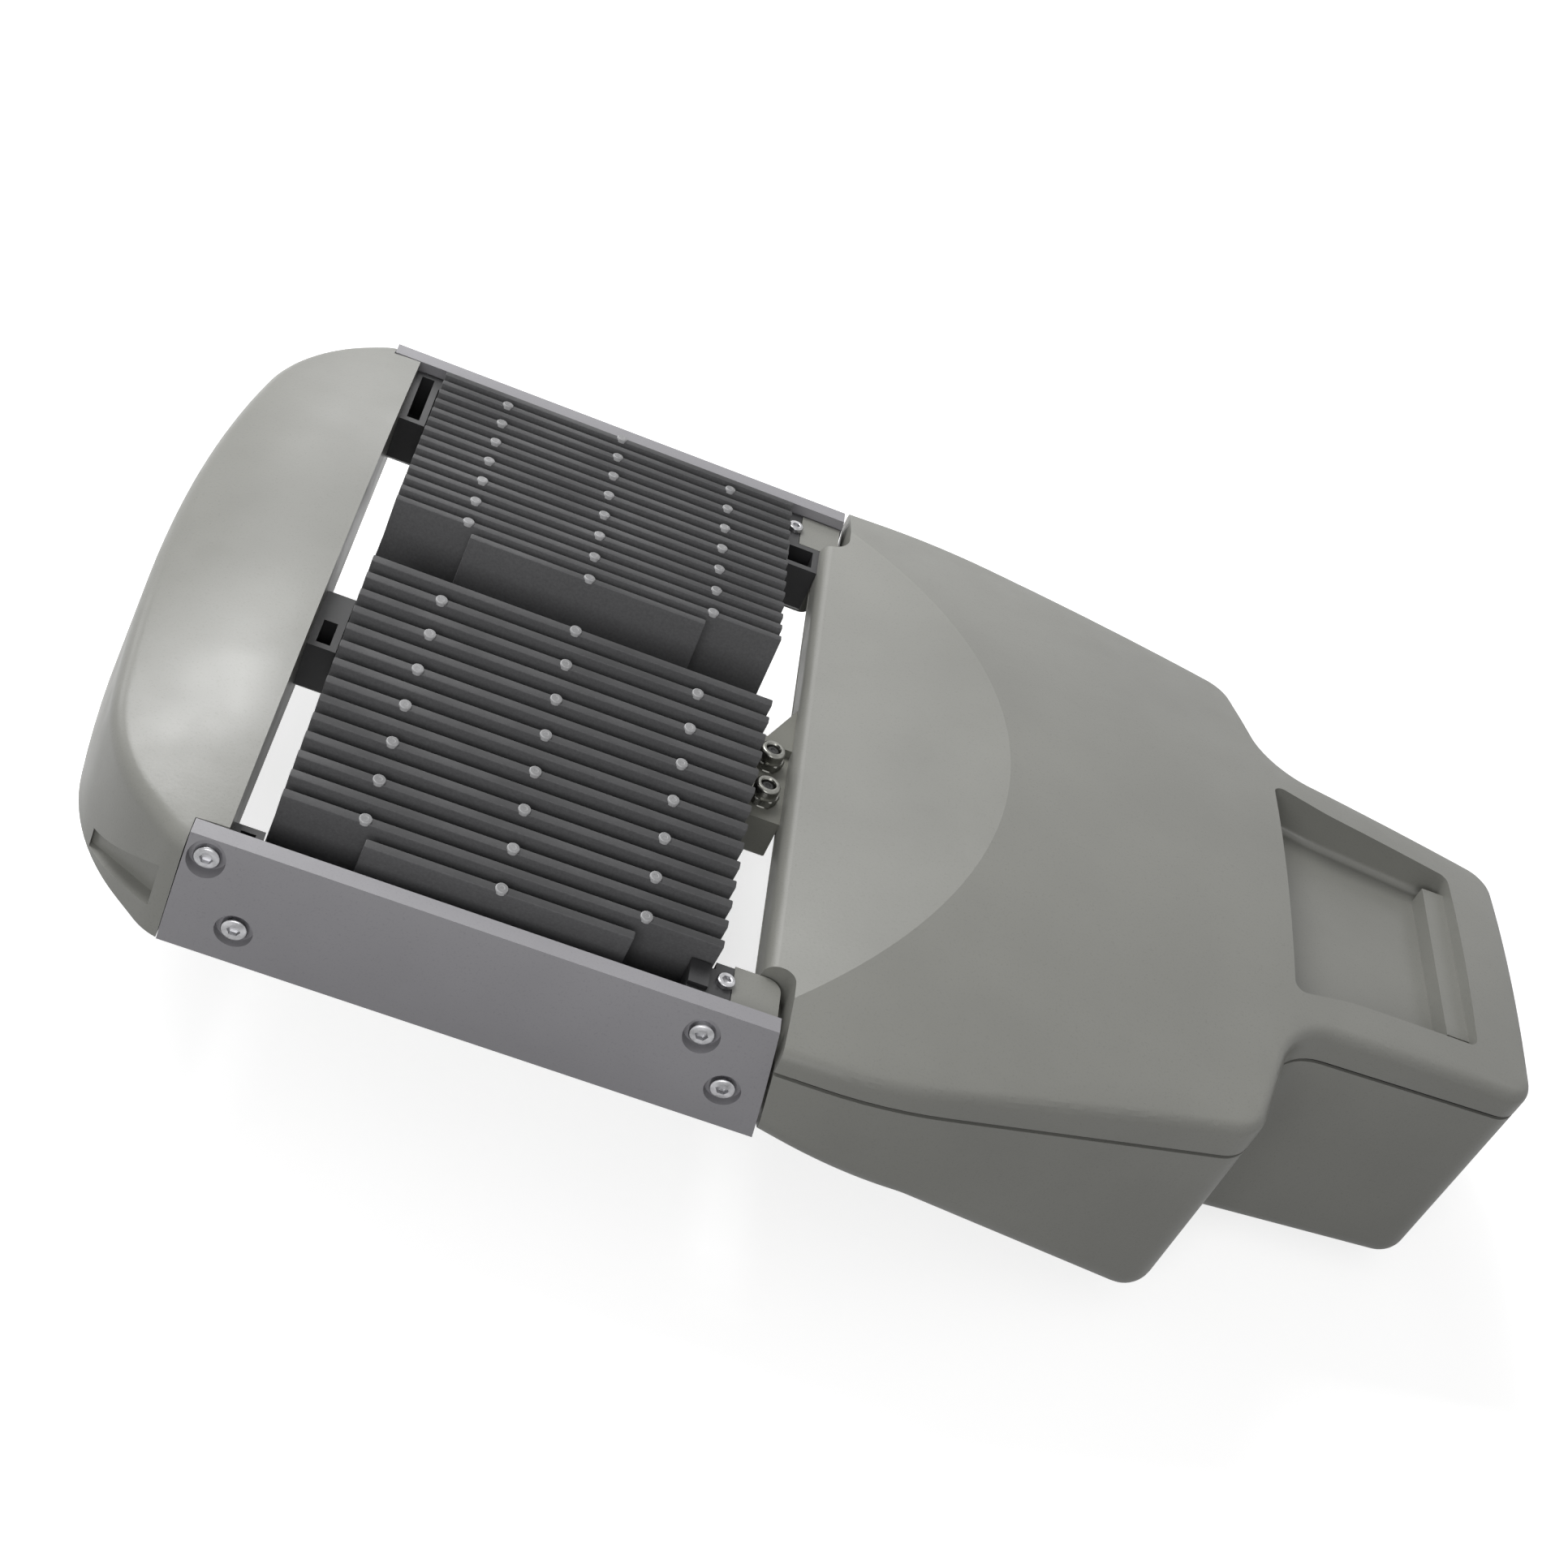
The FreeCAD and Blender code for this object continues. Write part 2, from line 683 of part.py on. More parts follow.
def rail_face(level):
    """How far out the rail's bulging face stands at a level."""
    radius = size("rail_bulge_radius")
    low = Vector(size(HALF), size("under_level"), 0)
    high = Vector(size(f"{HALF} - rail_crease_inset"), size("top_level"), 0)
    chord = high - low
    side_way = Vector(chord.y, -chord.x, 0).normalize()
    depth = math.sqrt(radius ** 2 - (chord.Length / 2) ** 2)
    centre = (low + high) / 2 - side_way * depth
    return centre.x + math.sqrt(radius ** 2 - (level - centre.y) ** 2)


def rail_drills(name, radius, spots, side=None, ring=False):
    """Round holes along Y for the rail screws, on one side or on both."""
    made = []
    for way in ([side] if side else [-1, 1]):
        for x, z in spots:
            level = size(z)
            face = rail_face(level)
            if ring:
                start = face - size("rail_screw_sink")
                reach = size("rail_screw_sink") + size("rail_crease_inset")
            else:
                start = face - size("rail_screw_sink + rail_screw_length")
                reach = size("rail_screw_length + rail_screw_sink + 1")
            made.append(Part.makeCylinder(
                size(radius), reach, Vector(size(x), way * start, level), Vector(0, way, 0)))
    return shaped(name, Part.makeCompound(made))


def rail_bosses(name, side):
    """Round bosses behind the rail's wall, from its inner line out into the wall."""
    made = []
    for x, z in RAIL_SCREWS:
        level = size(z)
        start = size(f"{HALF} - rail_flange_width + fit_gap")
        reach = rail_face(level) - size("rail_wall / 2") - start
        made.append(Part.makeCylinder(size("rail_boss_radius"), reach,
                                      Vector(size(x), side * start, level), Vector(0, side, 0)))
    return shaped(name, Part.makeCompound(made))


def rail_screws():
    """The eight screws that hold the rails: round heads sunk in rings."""
    made = []
    for side in (-1, 1):
        for x, z in RAIL_SCREWS:
            level = size(z)
            seat = rail_face(level) - size("rail_screw_sink")
            out = Vector(0, side, 0)
            shank = Part.makeCylinder(size("rail_screw_shank"), size("rail_screw_length"),
                                      Vector(size(x), side * (seat - size("rail_screw_length")), level), out)
            head = Part.makeCylinder(size("rail_screw_head"), size("rail_screw_head_height"),
                                     Vector(size(x), side * seat, level), out)
            made.append(shank.fuse(head).removeSplitter())
    return shaped("rail_screws", Part.makeCompound(made))


# Heat sink modules. Each is laid out flat, x along the lamp and y outwards, then tilted.
def module_place(side):
    """Where a module's underside centre sits, and its tilt about X."""
    middle = Vector(size(f"{CAP_EDGE} + {MODULE_X}"), side * size(MODULE_Y), size("module_z"))
    return Placement(middle, Rotation(Vector(-side, 0, 0), size("module_tilt")))


def module_shape(shape, side):
    """A flat shape of a module, y outwards, moved to its tilted place on one side."""
    if side < 0:
        shape = shape.mirror(Vector(), Vector(0, 1, 0))
    moved = shape.copy()
    moved.Placement = module_place(side).multiply(moved.Placement)
    return moved


def seat_module(body, side):
    """Ties a body's placement to the module's place."""
    body.Placement = Placement(Vector(), Rotation(Vector(-side, 0, 0), size("module_tilt")))
    bind(body, "Placement.Base.x", f"{CAP_EDGE} + {MODULE_X}")
    bind(body, "Placement.Base.y", f"{side} * {MODULE_Y}")
    bind(body, "Placement.Base.z", "module_z")
    bind(body, "Placement.Rotation.Angle", "module_tilt")


def frame_screw_spots():
    """The eight screws round the light unit's frame, in the module's flat layout."""
    x = size(f"{FRAME_LENGTH} / 2 - frame_skirt / 2")
    y = size(f"{FRAME_HALF} - frame_skirt / 2")
    return [(-x, -y), (0, -y), (x, -y), (-x, 0), (x, 0), (-x, y), (0, y), (x, y)]


def module_screw_spots(outer):
    """The screws through the ledge or the beam into a module's base."""
    x = size(f"{BASE_LENGTH} / 2 - module_screw_margin")
    y = size(f"({BASE_HALF} + {FRAME_HALF}) / 2")
    return [(-x, y if outer else -y), (0, y if outer else -y), (x, y if outer else -y)]


def heat_sink(word, side):
    """Base plate, long fins, two short tapered fins outermost, and bosses on the fin tops."""
    body = doc.addObject("PartDesign::Body", "HeatSink" + word)
    pad(body, "Base" + word, "XY",
        rectangle(f"-{BASE_LENGTH} / 2", f"-{BASE_HALF}", f"{BASE_LENGTH} / 2", BASE_HALF), "base_thickness")

    def fin_row(name, outline, start, count):
        """A row of equal fins, from the first one outwards."""
        sketch = body_sketch(body, name + "Sketch", "XZ", f"{side} * ({start})")
        draw_outline(sketch, outline)
        feature = body.newObject("PartDesign::Pad", name)
        feature.Profile = sketch
        feature.Midplane = True
        bind(feature, "Length", "fin_thickness")
        row = body.newObject("PartDesign::LinearPattern", name + "Row")
        row.Originals = [feature]
        origin = [part for part in body.Origin.OriginFeatures if part.Role == "Y_Axis"][0]
        row.Direction = (origin, [""])
        row.Reversed = side < 0
        bind(row, "Length", f"{FIN_PITCH} * ({count} - 1)")
        row.Occurrences = int(size(count))
        body.Tip = row
        return row

    root = "base_thickness / 2"
    fin_row("LongFins" + word, rectangle(f"-{FIN_LENGTH} / 2", root, f"{FIN_LENGTH} / 2", "fin_height"),
            f"-{FIRST_FIN_Y}", "long_fin_count")
    fin_row("ShortFins" + word, [
        (f"-{SHORT_FIN_LENGTH} / 2 - short_fin_taper", root),
        (f"{SHORT_FIN_LENGTH} / 2 + short_fin_taper", root),
        (f"{SHORT_FIN_LENGTH} / 2", "fin_height"),
        (f"-{SHORT_FIN_LENGTH} / 2", "fin_height"),
    ], f"-{FIRST_FIN_Y} + {FIN_PITCH} * long_fin_count", "short_fin_count")
    bosses = []
    long_count = int(size("long_fin_count"))
    all_count = long_count + int(size("short_fin_count"))
    for row, first, last in ((-1, 1, long_count), (0, 0, all_count), (1, 1, long_count)):
        for number in range(first, last, 2):
            y = number * size(FIN_PITCH) - size(FIRST_FIN_Y)
            bosses.append(module_shape(Part.makeCylinder(
                size("fin_boss_radius"), size("fin_boss_height + fin_thickness"),
                Vector(row * size("fin_boss_spacing"), y, size("fin_height - fin_thickness"))), side))
    seat_module(body, side)
    finned = joined("Fuse", "FinnedBody" + word, [body, shaped("FinBosses" + word, Part.makeCompound(bosses))])
    reach = size("small_screw_bite") + 0.5
    spots = frame_screw_spots() + module_screw_spots(True) + module_screw_spots(False)
    threads = shaped("SinkThreads" + word, Part.makeCompound([
        module_shape(Part.makeCylinder(size("small_screw_shank") + 0.05, reach + 1, Vector(x, y, -1)), side)
        for x, y in spots]))
    return joined("Cut", "heat_sink_" + word.lower(), [finned, threads])


def light_unit(word, side):
    """The light unit beneath a heat sink: board, chips, gasket, lens plate and frame."""
    tag = word.lower()

    def plate(label, half_x, half_y, low, high, cut=None, tools=()):
        """A rounded plate, with an opening through it where one is given."""
        body = doc.addObject("PartDesign::Body", label + "Body")
        pad(body, label + "Plate", "XY", rectangle(f"-({half_x})", f"-({half_y})", half_x, half_y),
            f"({high}) - ({low})", low)
        if cut:
            sketch = body_sketch(body, label + "OpeningSketch", "XY", high)
            draw_outline(sketch, rectangle(f"-({cut[0]})", f"-({cut[1]})", cut[0], cut[1]))
            opening = body.newObject("PartDesign::Pocket", label + "Opening")
            opening.Profile = sketch
            bind(opening, "Length", cut[2])
        seat_module(body, side)
        return body

    skirt_x = f"{FRAME_LENGTH} / 2 - frame_skirt"
    skirt_y = f"{FRAME_HALF} - frame_skirt"
    board = plate("led_board_" + tag, f"{FRAME_LENGTH} / 2 - board_margin", f"{FRAME_HALF} - board_margin",
                  "-board_thickness", "0")
    gasket = plate("lens_gasket_" + tag, f"{skirt_x} - lens_gap", f"{skirt_y} - lens_gap",
                   "-gasket_height", "0",
                   (f"{skirt_x} - frame_border / 2", f"{skirt_y} - frame_border / 2", "gasket_height"))
    lens_low = "-gasket_height - lens_thickness"
    lens = plate("LensPlate" + word, f"{skirt_x} - lens_gap", f"{skirt_y} - lens_gap",
                 lens_low, "-gasket_height")
    frame_low = f"{lens_low} - frame_face"
    frame = plate("LensFrame" + word, f"{FRAME_LENGTH} / 2", FRAME_HALF, frame_low, "0",
                  (skirt_x, skirt_y, "gasket_height + lens_thickness"))
    window = doc.addObject("PartDesign::Body", "LensWindow" + word)
    pad(window, "LensWindowPad" + word, "XY",
        rectangle(f"-{WINDOW_X}", f"-{WINDOW_Y}", WINDOW_X, WINDOW_Y),
        "frame_face + 2", f"{frame_low} - 1")
    seat_module(window, side)
    spots = frame_screw_spots()
    holes = shaped("FrameHoles" + word, Part.makeCompound([
        module_shape(Part.makeCylinder(size("small_screw_shank + small_screw_clearance"),
                                       size(FRAME_LENGTH), Vector(x, y, -size(FRAME_LENGTH) / 2)), side)
        for x, y in spots]))
    frame_done = joined("Cut", "lens_frame_" + tag, [frame, window, holes])
    domes = []
    pockets = []
    chips = []
    rise = size("lens_dome_height")
    radius = size(LENS_DOME)
    ball = (radius ** 2 + rise ** 2) / (2 * rise)
    for row in range(int(size("lens_rows"))):
        for column in range(int(size("lens_columns"))):
            x = (column - size("(lens_columns - 1) / 2")) * size(LENS_PITCH_X)
            y = (row - size("(lens_rows - 1) / 2")) * size(LENS_PITCH_Y)
            low = size(lens_low)
            cap = Part.makeSphere(ball, Vector(x, y, low + ball - rise)).common(
                Part.makeCylinder(radius, rise + 1, Vector(x, y, low - rise)))
            domes.append(module_shape(cap, side))
            pockets.append(module_shape(Part.makeCylinder(
                size("lens_pocket_radius"), size("lens_thickness / 2 + 1"),
                Vector(x, y, size("-gasket_height - lens_thickness / 2"))), side))
            chip = size("chip_size")
            chips.append(module_shape(Part.makeBox(
                chip, chip, size("chip_height"),
                Vector(x - chip / 2, y - chip / 2, -size("board_thickness + chip_height"))), side))
    lens_done = joined("Cut", "lens_plate_" + tag, [
        joined("Fuse", "DomedPlate" + word, [lens, shaped("LensDomes" + word, Part.makeCompound(domes))]),
        shaped("LensPockets" + word, Part.makeCompound(pockets))])
    chips_done = shaped("led_chips_" + tag, Part.makeCompound(chips))
    return {"led_board_" + tag: board, "lens_gasket_" + tag: gasket, "lens_plate_" + tag: lens_done,
            "lens_frame_" + tag: frame_done, "led_chips_" + tag: chips_done}


def small_screw(x, y, seat, bite):
    """A small screw that points up from its head's seat."""
    head = Part.makeCylinder(size("small_screw_head"), size("small_screw_head_height"),
                             Vector(x, y, seat - size("small_screw_head_height")))
    shank = Part.makeCylinder(size("small_screw_shank"), bite - seat, Vector(x, y, seat))
    return head.fuse(shank).removeSplitter()


def frame_screws():
    """The screws that hold both lens frames to the heat sinks."""
    seat = size("-gasket_height - lens_thickness - frame_face")
    bite = size("small_screw_bite")
    return shaped("lens_frame_screws", Part.makeCompound([
        module_shape(small_screw(x, y, seat, bite), side)
        for side in (-1, 1) for x, y in frame_screw_spots()]))


def module_screws():
    """The screws from beneath that hold the modules on the ledges and the beam."""
    bite = size("small_screw_bite")
    made = []
    for side in (-1, 1):
        for x, y in module_screw_spots(True):
            made.append(module_shape(small_screw(x, y, -size("ledge_thickness"), bite), side))
        for x, y in module_screw_spots(False):
            made.append(module_shape(small_screw(x, y, -size("beam_thickness"), bite), side))
    return shaped("module_screws", Part.makeCompound(made))


# Centre beam: its web is a tenon at both ends, carried by the centre brackets
FLANGE_DROP = "beam_thickness / cos(module_tilt)"
WEB_TOP = f"({base_under('beam_web / 2')} - {FLANGE_DROP})"
WEB_LOW = f"({WEB_TOP} - beam_depth)"


def centre_beam():
    """A beam with a flange roofed to both modules' slopes and a longer web below it."""
    body = doc.addObject("PartDesign::Body", "Beam")
    edge = base_under("beam_half")
    pad(body, "BeamWeb", "YZ", rectangle("-beam_web / 2", WEB_LOW, "beam_web / 2", WEB_TOP),
        "bay_length", CAP_EDGE)
    pad(body, "BeamFlange", "YZ", [
        ("-beam_half", f"{edge} - {FLANGE_DROP}"),
        ("-beam_web / 2", WEB_TOP),
        ("beam_web / 2", WEB_TOP),
        ("beam_half", f"{edge} - {FLANGE_DROP}"),
        ("beam_half", edge),
        ("0", base_under("0")),
        ("-beam_half", edge),
    ], BASE_LENGTH, f"{CAP_EDGE} + front_gap")
    holes = shaped("BeamHoles", Part.makeCompound([
        module_shape(Part.makeCylinder(size("small_screw_shank + small_screw_clearance"), 12,
                                       Vector(x, y, -8)), side)
        for side in (-1, 1) for x, y in module_screw_spots(False)]))
    return joined("Cut", "centre_beam", [body, holes])


# Brackets across the gaps at both ends of the bay
FRONT_GAP_END = f"{CAP_EDGE} + front_gap - fit_gap"
REAR_GAP_START = f"{COVER_EDGE} - rear_gap + fit_gap"
LUG_START = f"{COVER_EDGE} - lug_length - fit_gap"


def bracket_block(name, near, far, front, rear, top="bracket_top", trough_far=None):
    """A black cast block with bevelled lower corners, and the trough in its top, which
    ends at the far wall unless it has an end of its own."""
    block = prism(name + "Block", "YZ", [
        (f"{near} + bracket_bevel", "bracket_bottom"),
        (f"{far} - bracket_bevel", "bracket_bottom"),
        (far, "bracket_bottom + bracket_bevel"),
        (far, top),
        (near, top),
        (near, "bracket_bottom + bracket_bevel"),
    ], front, rear)
    trough = prism(name + "Trough", "XY",
                   rectangle(f"{front} + bracket_wall", f"{near} + bracket_wall",
                             f"{rear} - bracket_wall", trough_far or f"{far} - bracket_wall"),
                   "bracket_bottom + bracket_wall", f"{top} + 1")
    return block, trough


def outwards(side, x_start, inner, x_end, outer):
    """The plan of a block between two distances from the middle, on one side."""
    if side < 0:
        return rectangle(x_start, f"-({outer})", x_end, f"-({inner})")
    return rectangle(x_start, inner, x_end, outer)


def front_corner_bracket(word, side):
    """A block in a front corner of the bay, with an ear behind the rail for its screw."""
    tag = "FrontCorner" + word
    top = "low_bracket_top" if side < 0 else "bracket_top"
    reach = "bracket_small_reach" if side < 0 else "bracket_corner_reach"
    ends = [BRACKET_OUTER, f"({BRACKET_OUTER} - {reach})"]
    near, far = (f"-{ends[0]}", f"-{ends[1]}") if side < 0 else (ends[1], ends[0])
    block, trough = bracket_block(tag, near, far, CAP_EDGE, FRONT_GAP_END, top)
    ear = prism(tag + "Ear", "XY",
                outwards(side, CAP_EDGE, EAR_INNER, f"{CAP_EDGE} + ear_front_length", BRACKET_OUTER),
                "ear_bottom", top)
    thread = rail_drills(tag + "Thread", "rail_screw_shank + thread_gap", [RAIL_SCREWS[1]], side=side)
    return joined("Cut", "front_corner_bracket_" + word.lower(),
                  [joined("Fuse", tag + "Eared", [block, ear]), trough, thread])


def rear_corner_bracket(word, side):
    """A bridge ahead of the housing's lug, with a padded ear that reaches over the heat
    sink's base. The right one also has a block beside the lug."""
    tag = "RearCorner" + word
    reach = "bracket_small_reach" if side < 0 else "bracket_corner_reach"
    inner = f"({BRACKET_OUTER} - {reach})"
    ear_start = f"{COVER_EDGE} - rear_ear_length"
    ear_low = f"{base_under(REAR_EAR_INNER)} + base_thickness / cos(module_tilt) + fit_gap"
    pieces = [
        prism(tag + "Bridge", "XY", outwards(side, REAR_GAP_START, inner, LUG_START, BRACKET_OUTER),
              "bracket_bottom", "bracket_top"),
        prism(tag + "Ear", "XY", outwards(side, ear_start, REAR_EAR_INNER, LUG_START, BRACKET_OUTER),
              ear_low, "bracket_top"),
        prism(tag + "Pad", "XY",
              outwards(side, ear_start, REAR_EAR_INNER, f"{ear_start} + ear_pad_length",
                       f"{REAR_EAR_INNER} + ear_pad_width"),
              ear_low, "bracket_top + ear_pad_height"),
    ]
    cuts = [
        rail_drills(tag + "Thread", "rail_screw_shank + thread_gap", [RAIL_SCREWS[2]], side=side),
        rods(tag + "ScrewHole", bracket_screw_spots(side), size("small_screw_shank + thread_gap"),
             size("bracket_screw_depth + 1"), Vector(0, 0, -1)),
    ]
    if side > 0:
        block, trough = bracket_block(tag, inner, f"({LUG_INNER} - fit_gap)", REAR_GAP_START, COVER_EDGE)
        pieces.append(block)
        cuts.append(trough)
    return joined("Cut", "rear_corner_bracket_" + word.lower(),
                  [joined("Fuse", tag + "Joined", pieces)] + cuts)


def bracket_screw_spots(side):
    """The seat of the upright screw on a rear corner bracket."""
    return [Vector(size(f"{COVER_EDGE} - bracket_screw_x"),
                   side * size(f"{BRACKET_OUTER} - bracket_screw_inset"), size("bracket_top"))]


def bracket_screws():
    """The two upright screws on the rear corner brackets."""
    made = []
    for side in (-1, 1):
        for seat in bracket_screw_spots(side):
            head = Part.makeCylinder(size("small_screw_head"), size("small_screw_head_height"), seat)
            shank = Part.makeCylinder(size("small_screw_shank"), size("bracket_screw_depth"),
                                      seat, Vector(0, 0, -1))
            made.append(head.fuse(shank).removeSplitter())
    return shaped("bracket_screws", Part.makeCompound(made))


def web_window(name, front, rear):
    """The window through a centre bracket that holds the end of the beam's web."""
    return prism(name, "YZ",
                 rectangle("-beam_web / 2 - fit_gap", f"{WEB_LOW} - fit_gap",
                           "beam_web / 2 + fit_gap", f"{WEB_TOP} + fit_gap"),
                 f"{front} - 1", f"{rear} + 1")


def front_centre_bracket():
    """A block with a trough at its near end and a low foot that holds the beam's web."""
    block, trough = bracket_block("FrontCentre", "front_centre_near", "front_centre_far",
                                  CAP_EDGE, FRONT_GAP_END, trough_far="front_trough_far")
    foot = prism("FrontCentreFoot", "YZ",
                 rectangle("front_centre_far - bracket_bevel - bracket_wall", "bracket_bottom",
                           "front_foot_far", "foot_top"), CAP_EDGE, FRONT_GAP_END)
    return joined("Cut", "front_centre_bracket",
                  [joined("Fuse", "FrontCentreFooted", [block, foot]), trough,
                   web_window("FrontCentreWindow", CAP_EDGE, FRONT_GAP_END)])


def rear_centre_bracket():
    """A solid block with a saddle for the glands, and a slanted brace along the housing
    that holds the beam's web."""
    block, trough = bracket_block("RearCentre", "rear_centre_near", "rear_centre_far",
                                  REAR_GAP_START, COVER_EDGE)
    root = "rear_centre_far - bracket_bevel - bracket_wall"
    brace = prism("RearCentreBrace", "XY", [
        (f"{COVER_EDGE} - rear_brace_length", root),
        (COVER_EDGE, root),
        (COVER_EDGE, "rear_brace_far"),
        (f"{COVER_EDGE} - rear_brace_length", "rear_centre_far"),
    ], "bracket_bottom", "bracket_top")
    saddle = prism("RearCentreSaddle", "YZ",
                   rectangle("rear_centre_near - 1", "bracket_top - gland_nut_height",
                             "gland_far_y + gland_nut_radius + 1", "bracket_top + 1"),
                   f"{REAR_GAP_START} - 1", f"{COVER_EDGE} + 1")
    holes = rods("RearCentreGlandHoles", gland_spots(), size("gland_stem_radius + thread_gap"),
                 size("gland_stem_length + 1"), Vector(0, 0, -1))
    return joined("Cut", "rear_centre_bracket",
                  [joined("Fuse", "RearCentreBraced", [block, brace]),
                   web_window("RearCentreHole", REAR_GAP_START, COVER_EDGE), saddle, holes])


def gland_spots():
    """The feet of the two cable glands on the rear centre bracket."""
    x = size(f"{COVER_EDGE} - rear_gap / 2")
    z = size("bracket_top - gland_nut_height")
    return [Vector(x, size(y), z) for y in ("gland_near_y", "gland_far_y")]


def cable_glands():
    """Two small glands: a six-sided nut and a domed cap, with a short stem in the bracket."""
    made = []
    for foot in gland_spots():
        nut = Part.Face(Part.makePolygon([
            foot + Vector(size("gland_nut_radius") * math.cos(math.radians(60 * n)),
                          size("gland_nut_radius") * math.sin(math.radians(60 * n)), 0)
            for n in range(7)])).extrude(Vector(0, 0, size("gland_nut_height")))
        cap = Part.makeCylinder(size("gland_radius"), size("gland_height - gland_nut_height"),
                                foot + Vector(0, 0, size("gland_nut_height")))
        stem = Part.makeCylinder(size("gland_stem_radius"), size("gland_stem_length"),
                                 foot, Vector(0, 0, -1))
        made.append(nut.fuse([cap, stem]).removeSplitter())
    return shaped("cable_glands", Part.makeCompound(made))


# Housing and cover share one plan and one seam
def housing_plan(stepped=False):
    """Wide at the bay, tapering to rounded shoulders, then a waist into the neck. The
    stepped plan leaves room for the lugs and the rail ends in its front corners."""
    step = f"{COVER_EDGE} + rail_rear_lap + rail_rear_slant + notch_gap"
    front = [(COVER_EDGE, HALF)]
    if stepped:
        front = [(COVER_EDGE, f"{LUG_INNER} - notch_gap"), (step, f"{LUG_INNER} - notch_gap"), (step, HALF)]
    right = front + [
        (f"{COVER_EDGE} + taper_start_x", HALF),
        (f"{COVER_EDGE} + shoulder_x", f"{HALF} - shoulder_inset"),
        (f"{COVER_EDGE} + throat_x", "throat_half"),
        ("0", "neck_half"),
    ]
    return [(x, f"-({y})") for x, y in right] + right[::-1]


def housing_rounding(inset="0", stepped=False):
    """Corner radii of the plan: taper, shoulder, throat and neck on both sides."""
    first = 3 if stepped else 1
    last = 2 * (first + 3) + 1
    radii = {}
    for step, radius in enumerate((f"taper_radius - ({inset})", f"shoulder_radius - ({inset})",
                                   f"throat_radius + ({inset})", f"neck_corner_radius - ({inset})")):
        radii[first + step] = radius
        radii[last - first - step] = radius
    return radii


def seam_line(drop, front="0"):
    """The seam from front to rear, level along the wide part and raised at the neck."""
    return [
        (f"{COVER_EDGE} + {front}", f"seam_level - ({drop})"),
        (f"{COVER_EDGE} + seam_ramp_start", f"seam_level - ({drop})"),
        (f"{COVER_EDGE} + seam_ramp_start + seam_ramp_length", f"neck_seam_start - ({drop})"),
        ("0", f"neck_seam_end - ({drop})"),
    ]


def band(name, lower, upper, rounding=None):
    """A prism across the lamp between a lower and an upper line from front to rear."""
    return prism(name, "XZ", lower + upper[::-1], f"-({HALF}) - 5", f"{HALF} + 5", rounding=rounding)


FLOOR_ROUNDING = {1: "housing_knee_radius", 2: "housing_knee_radius"}


def rail_notches():
    """Clearances for the slanted rail ends in the front corners of the housing."""
    rear = f"{COVER_EDGE} + rail_rear_lap + notch_gap"
    outline = [
        (f"{COVER_EDGE} - 1", "under_level - 1"),
        (f"{rear} + rail_rear_slant", "under_level - 1"),
        (f"{rear} + rail_rear_slant", "under_level"),
        (rear, "top_level"),
        (f"{COVER_EDGE} - 1", "top_level"),
    ]
    return [prism("TrayNotchLeft", "XZ", outline, f"-({HALF}) - 1", f"-{BRACKET_OUTER} - fit_gap"),
            prism("TrayNotchRight", "XZ", outline, f"{BRACKET_OUTER} + fit_gap", f"{HALF} + 1")]


def corner_notches(ceiling):
    """Rounded notches in the cover's front corners, round the lugs and the rail ends."""
    rear = (f"{COVER_EDGE} + rail_rear_lap + notch_gap"
            " + rail_rear_slant * (top_level - seam_level) / (top_level - under_level)")
    made = []
    for word, side, corner in (("Left", -1, 2), ("Right", 1, 1)):
        plan = outwards(side, f"{COVER_EDGE} - 1", f"{LUG_INNER} - notch_gap", rear, f"{HALF} + 1")
        made.append(prism("LidNotch" + word, "XY", plan, "under_level", ceiling,
                          rounding={corner: "lug_corner_radius + notch_gap"}))
    return made


def floor_line(lift):
    """The housing's underside from the foot of its slanted front wall to the rear: a
    gentle slope, a knee, a steep slope and the neck."""
    return [
        (f"{COVER_EDGE} + housing_floor_x + {lift}", f"under_level + ({lift})"),
        (f"{COVER_EDGE} + housing_knee_x", f"housing_knee_level + ({lift})"),
        (f"{COVER_EDGE} + housing_deep_x", f"housing_deep_level + ({lift})"),
        ("0", f"housing_end_level + ({lift})"),
    ]


def cover_screw_spots():
    """The four screws between housing and cover, as X and Y."""
    return [(size(f"{COVER_EDGE} + cover_screw_{end}_x"), side * size(f"{HALF} - cover_screw_{end}_inset"))
            for end in ("front", "rear") for side in (-1, 1)]


def driver_posts():
    """The posts under the driver, the surge protector and the terminal block: X, Y, top."""
    posts = []
    inset = size("2 * post_radius")
    for name in ("driver", "surge", "terminal"):
        x = size(f"{COVER_EDGE} + {name}_x")
        y = size(f"{name}_y")
        half = size(f"{name}_width / 2")
        length = size(f"{name}_length")
        if name == "driver":
            spots = [(x + inset, y - half + inset), (x + inset, y + half - inset),
                     (x + length - inset, y - half + inset), (x + length - inset, y + half - inset)]
        else:
            spots = [(x + length / 2, y - half / 2), (x + length / 2, y + half / 2)]
        posts += [(px, py) for px, py in spots]
    return posts


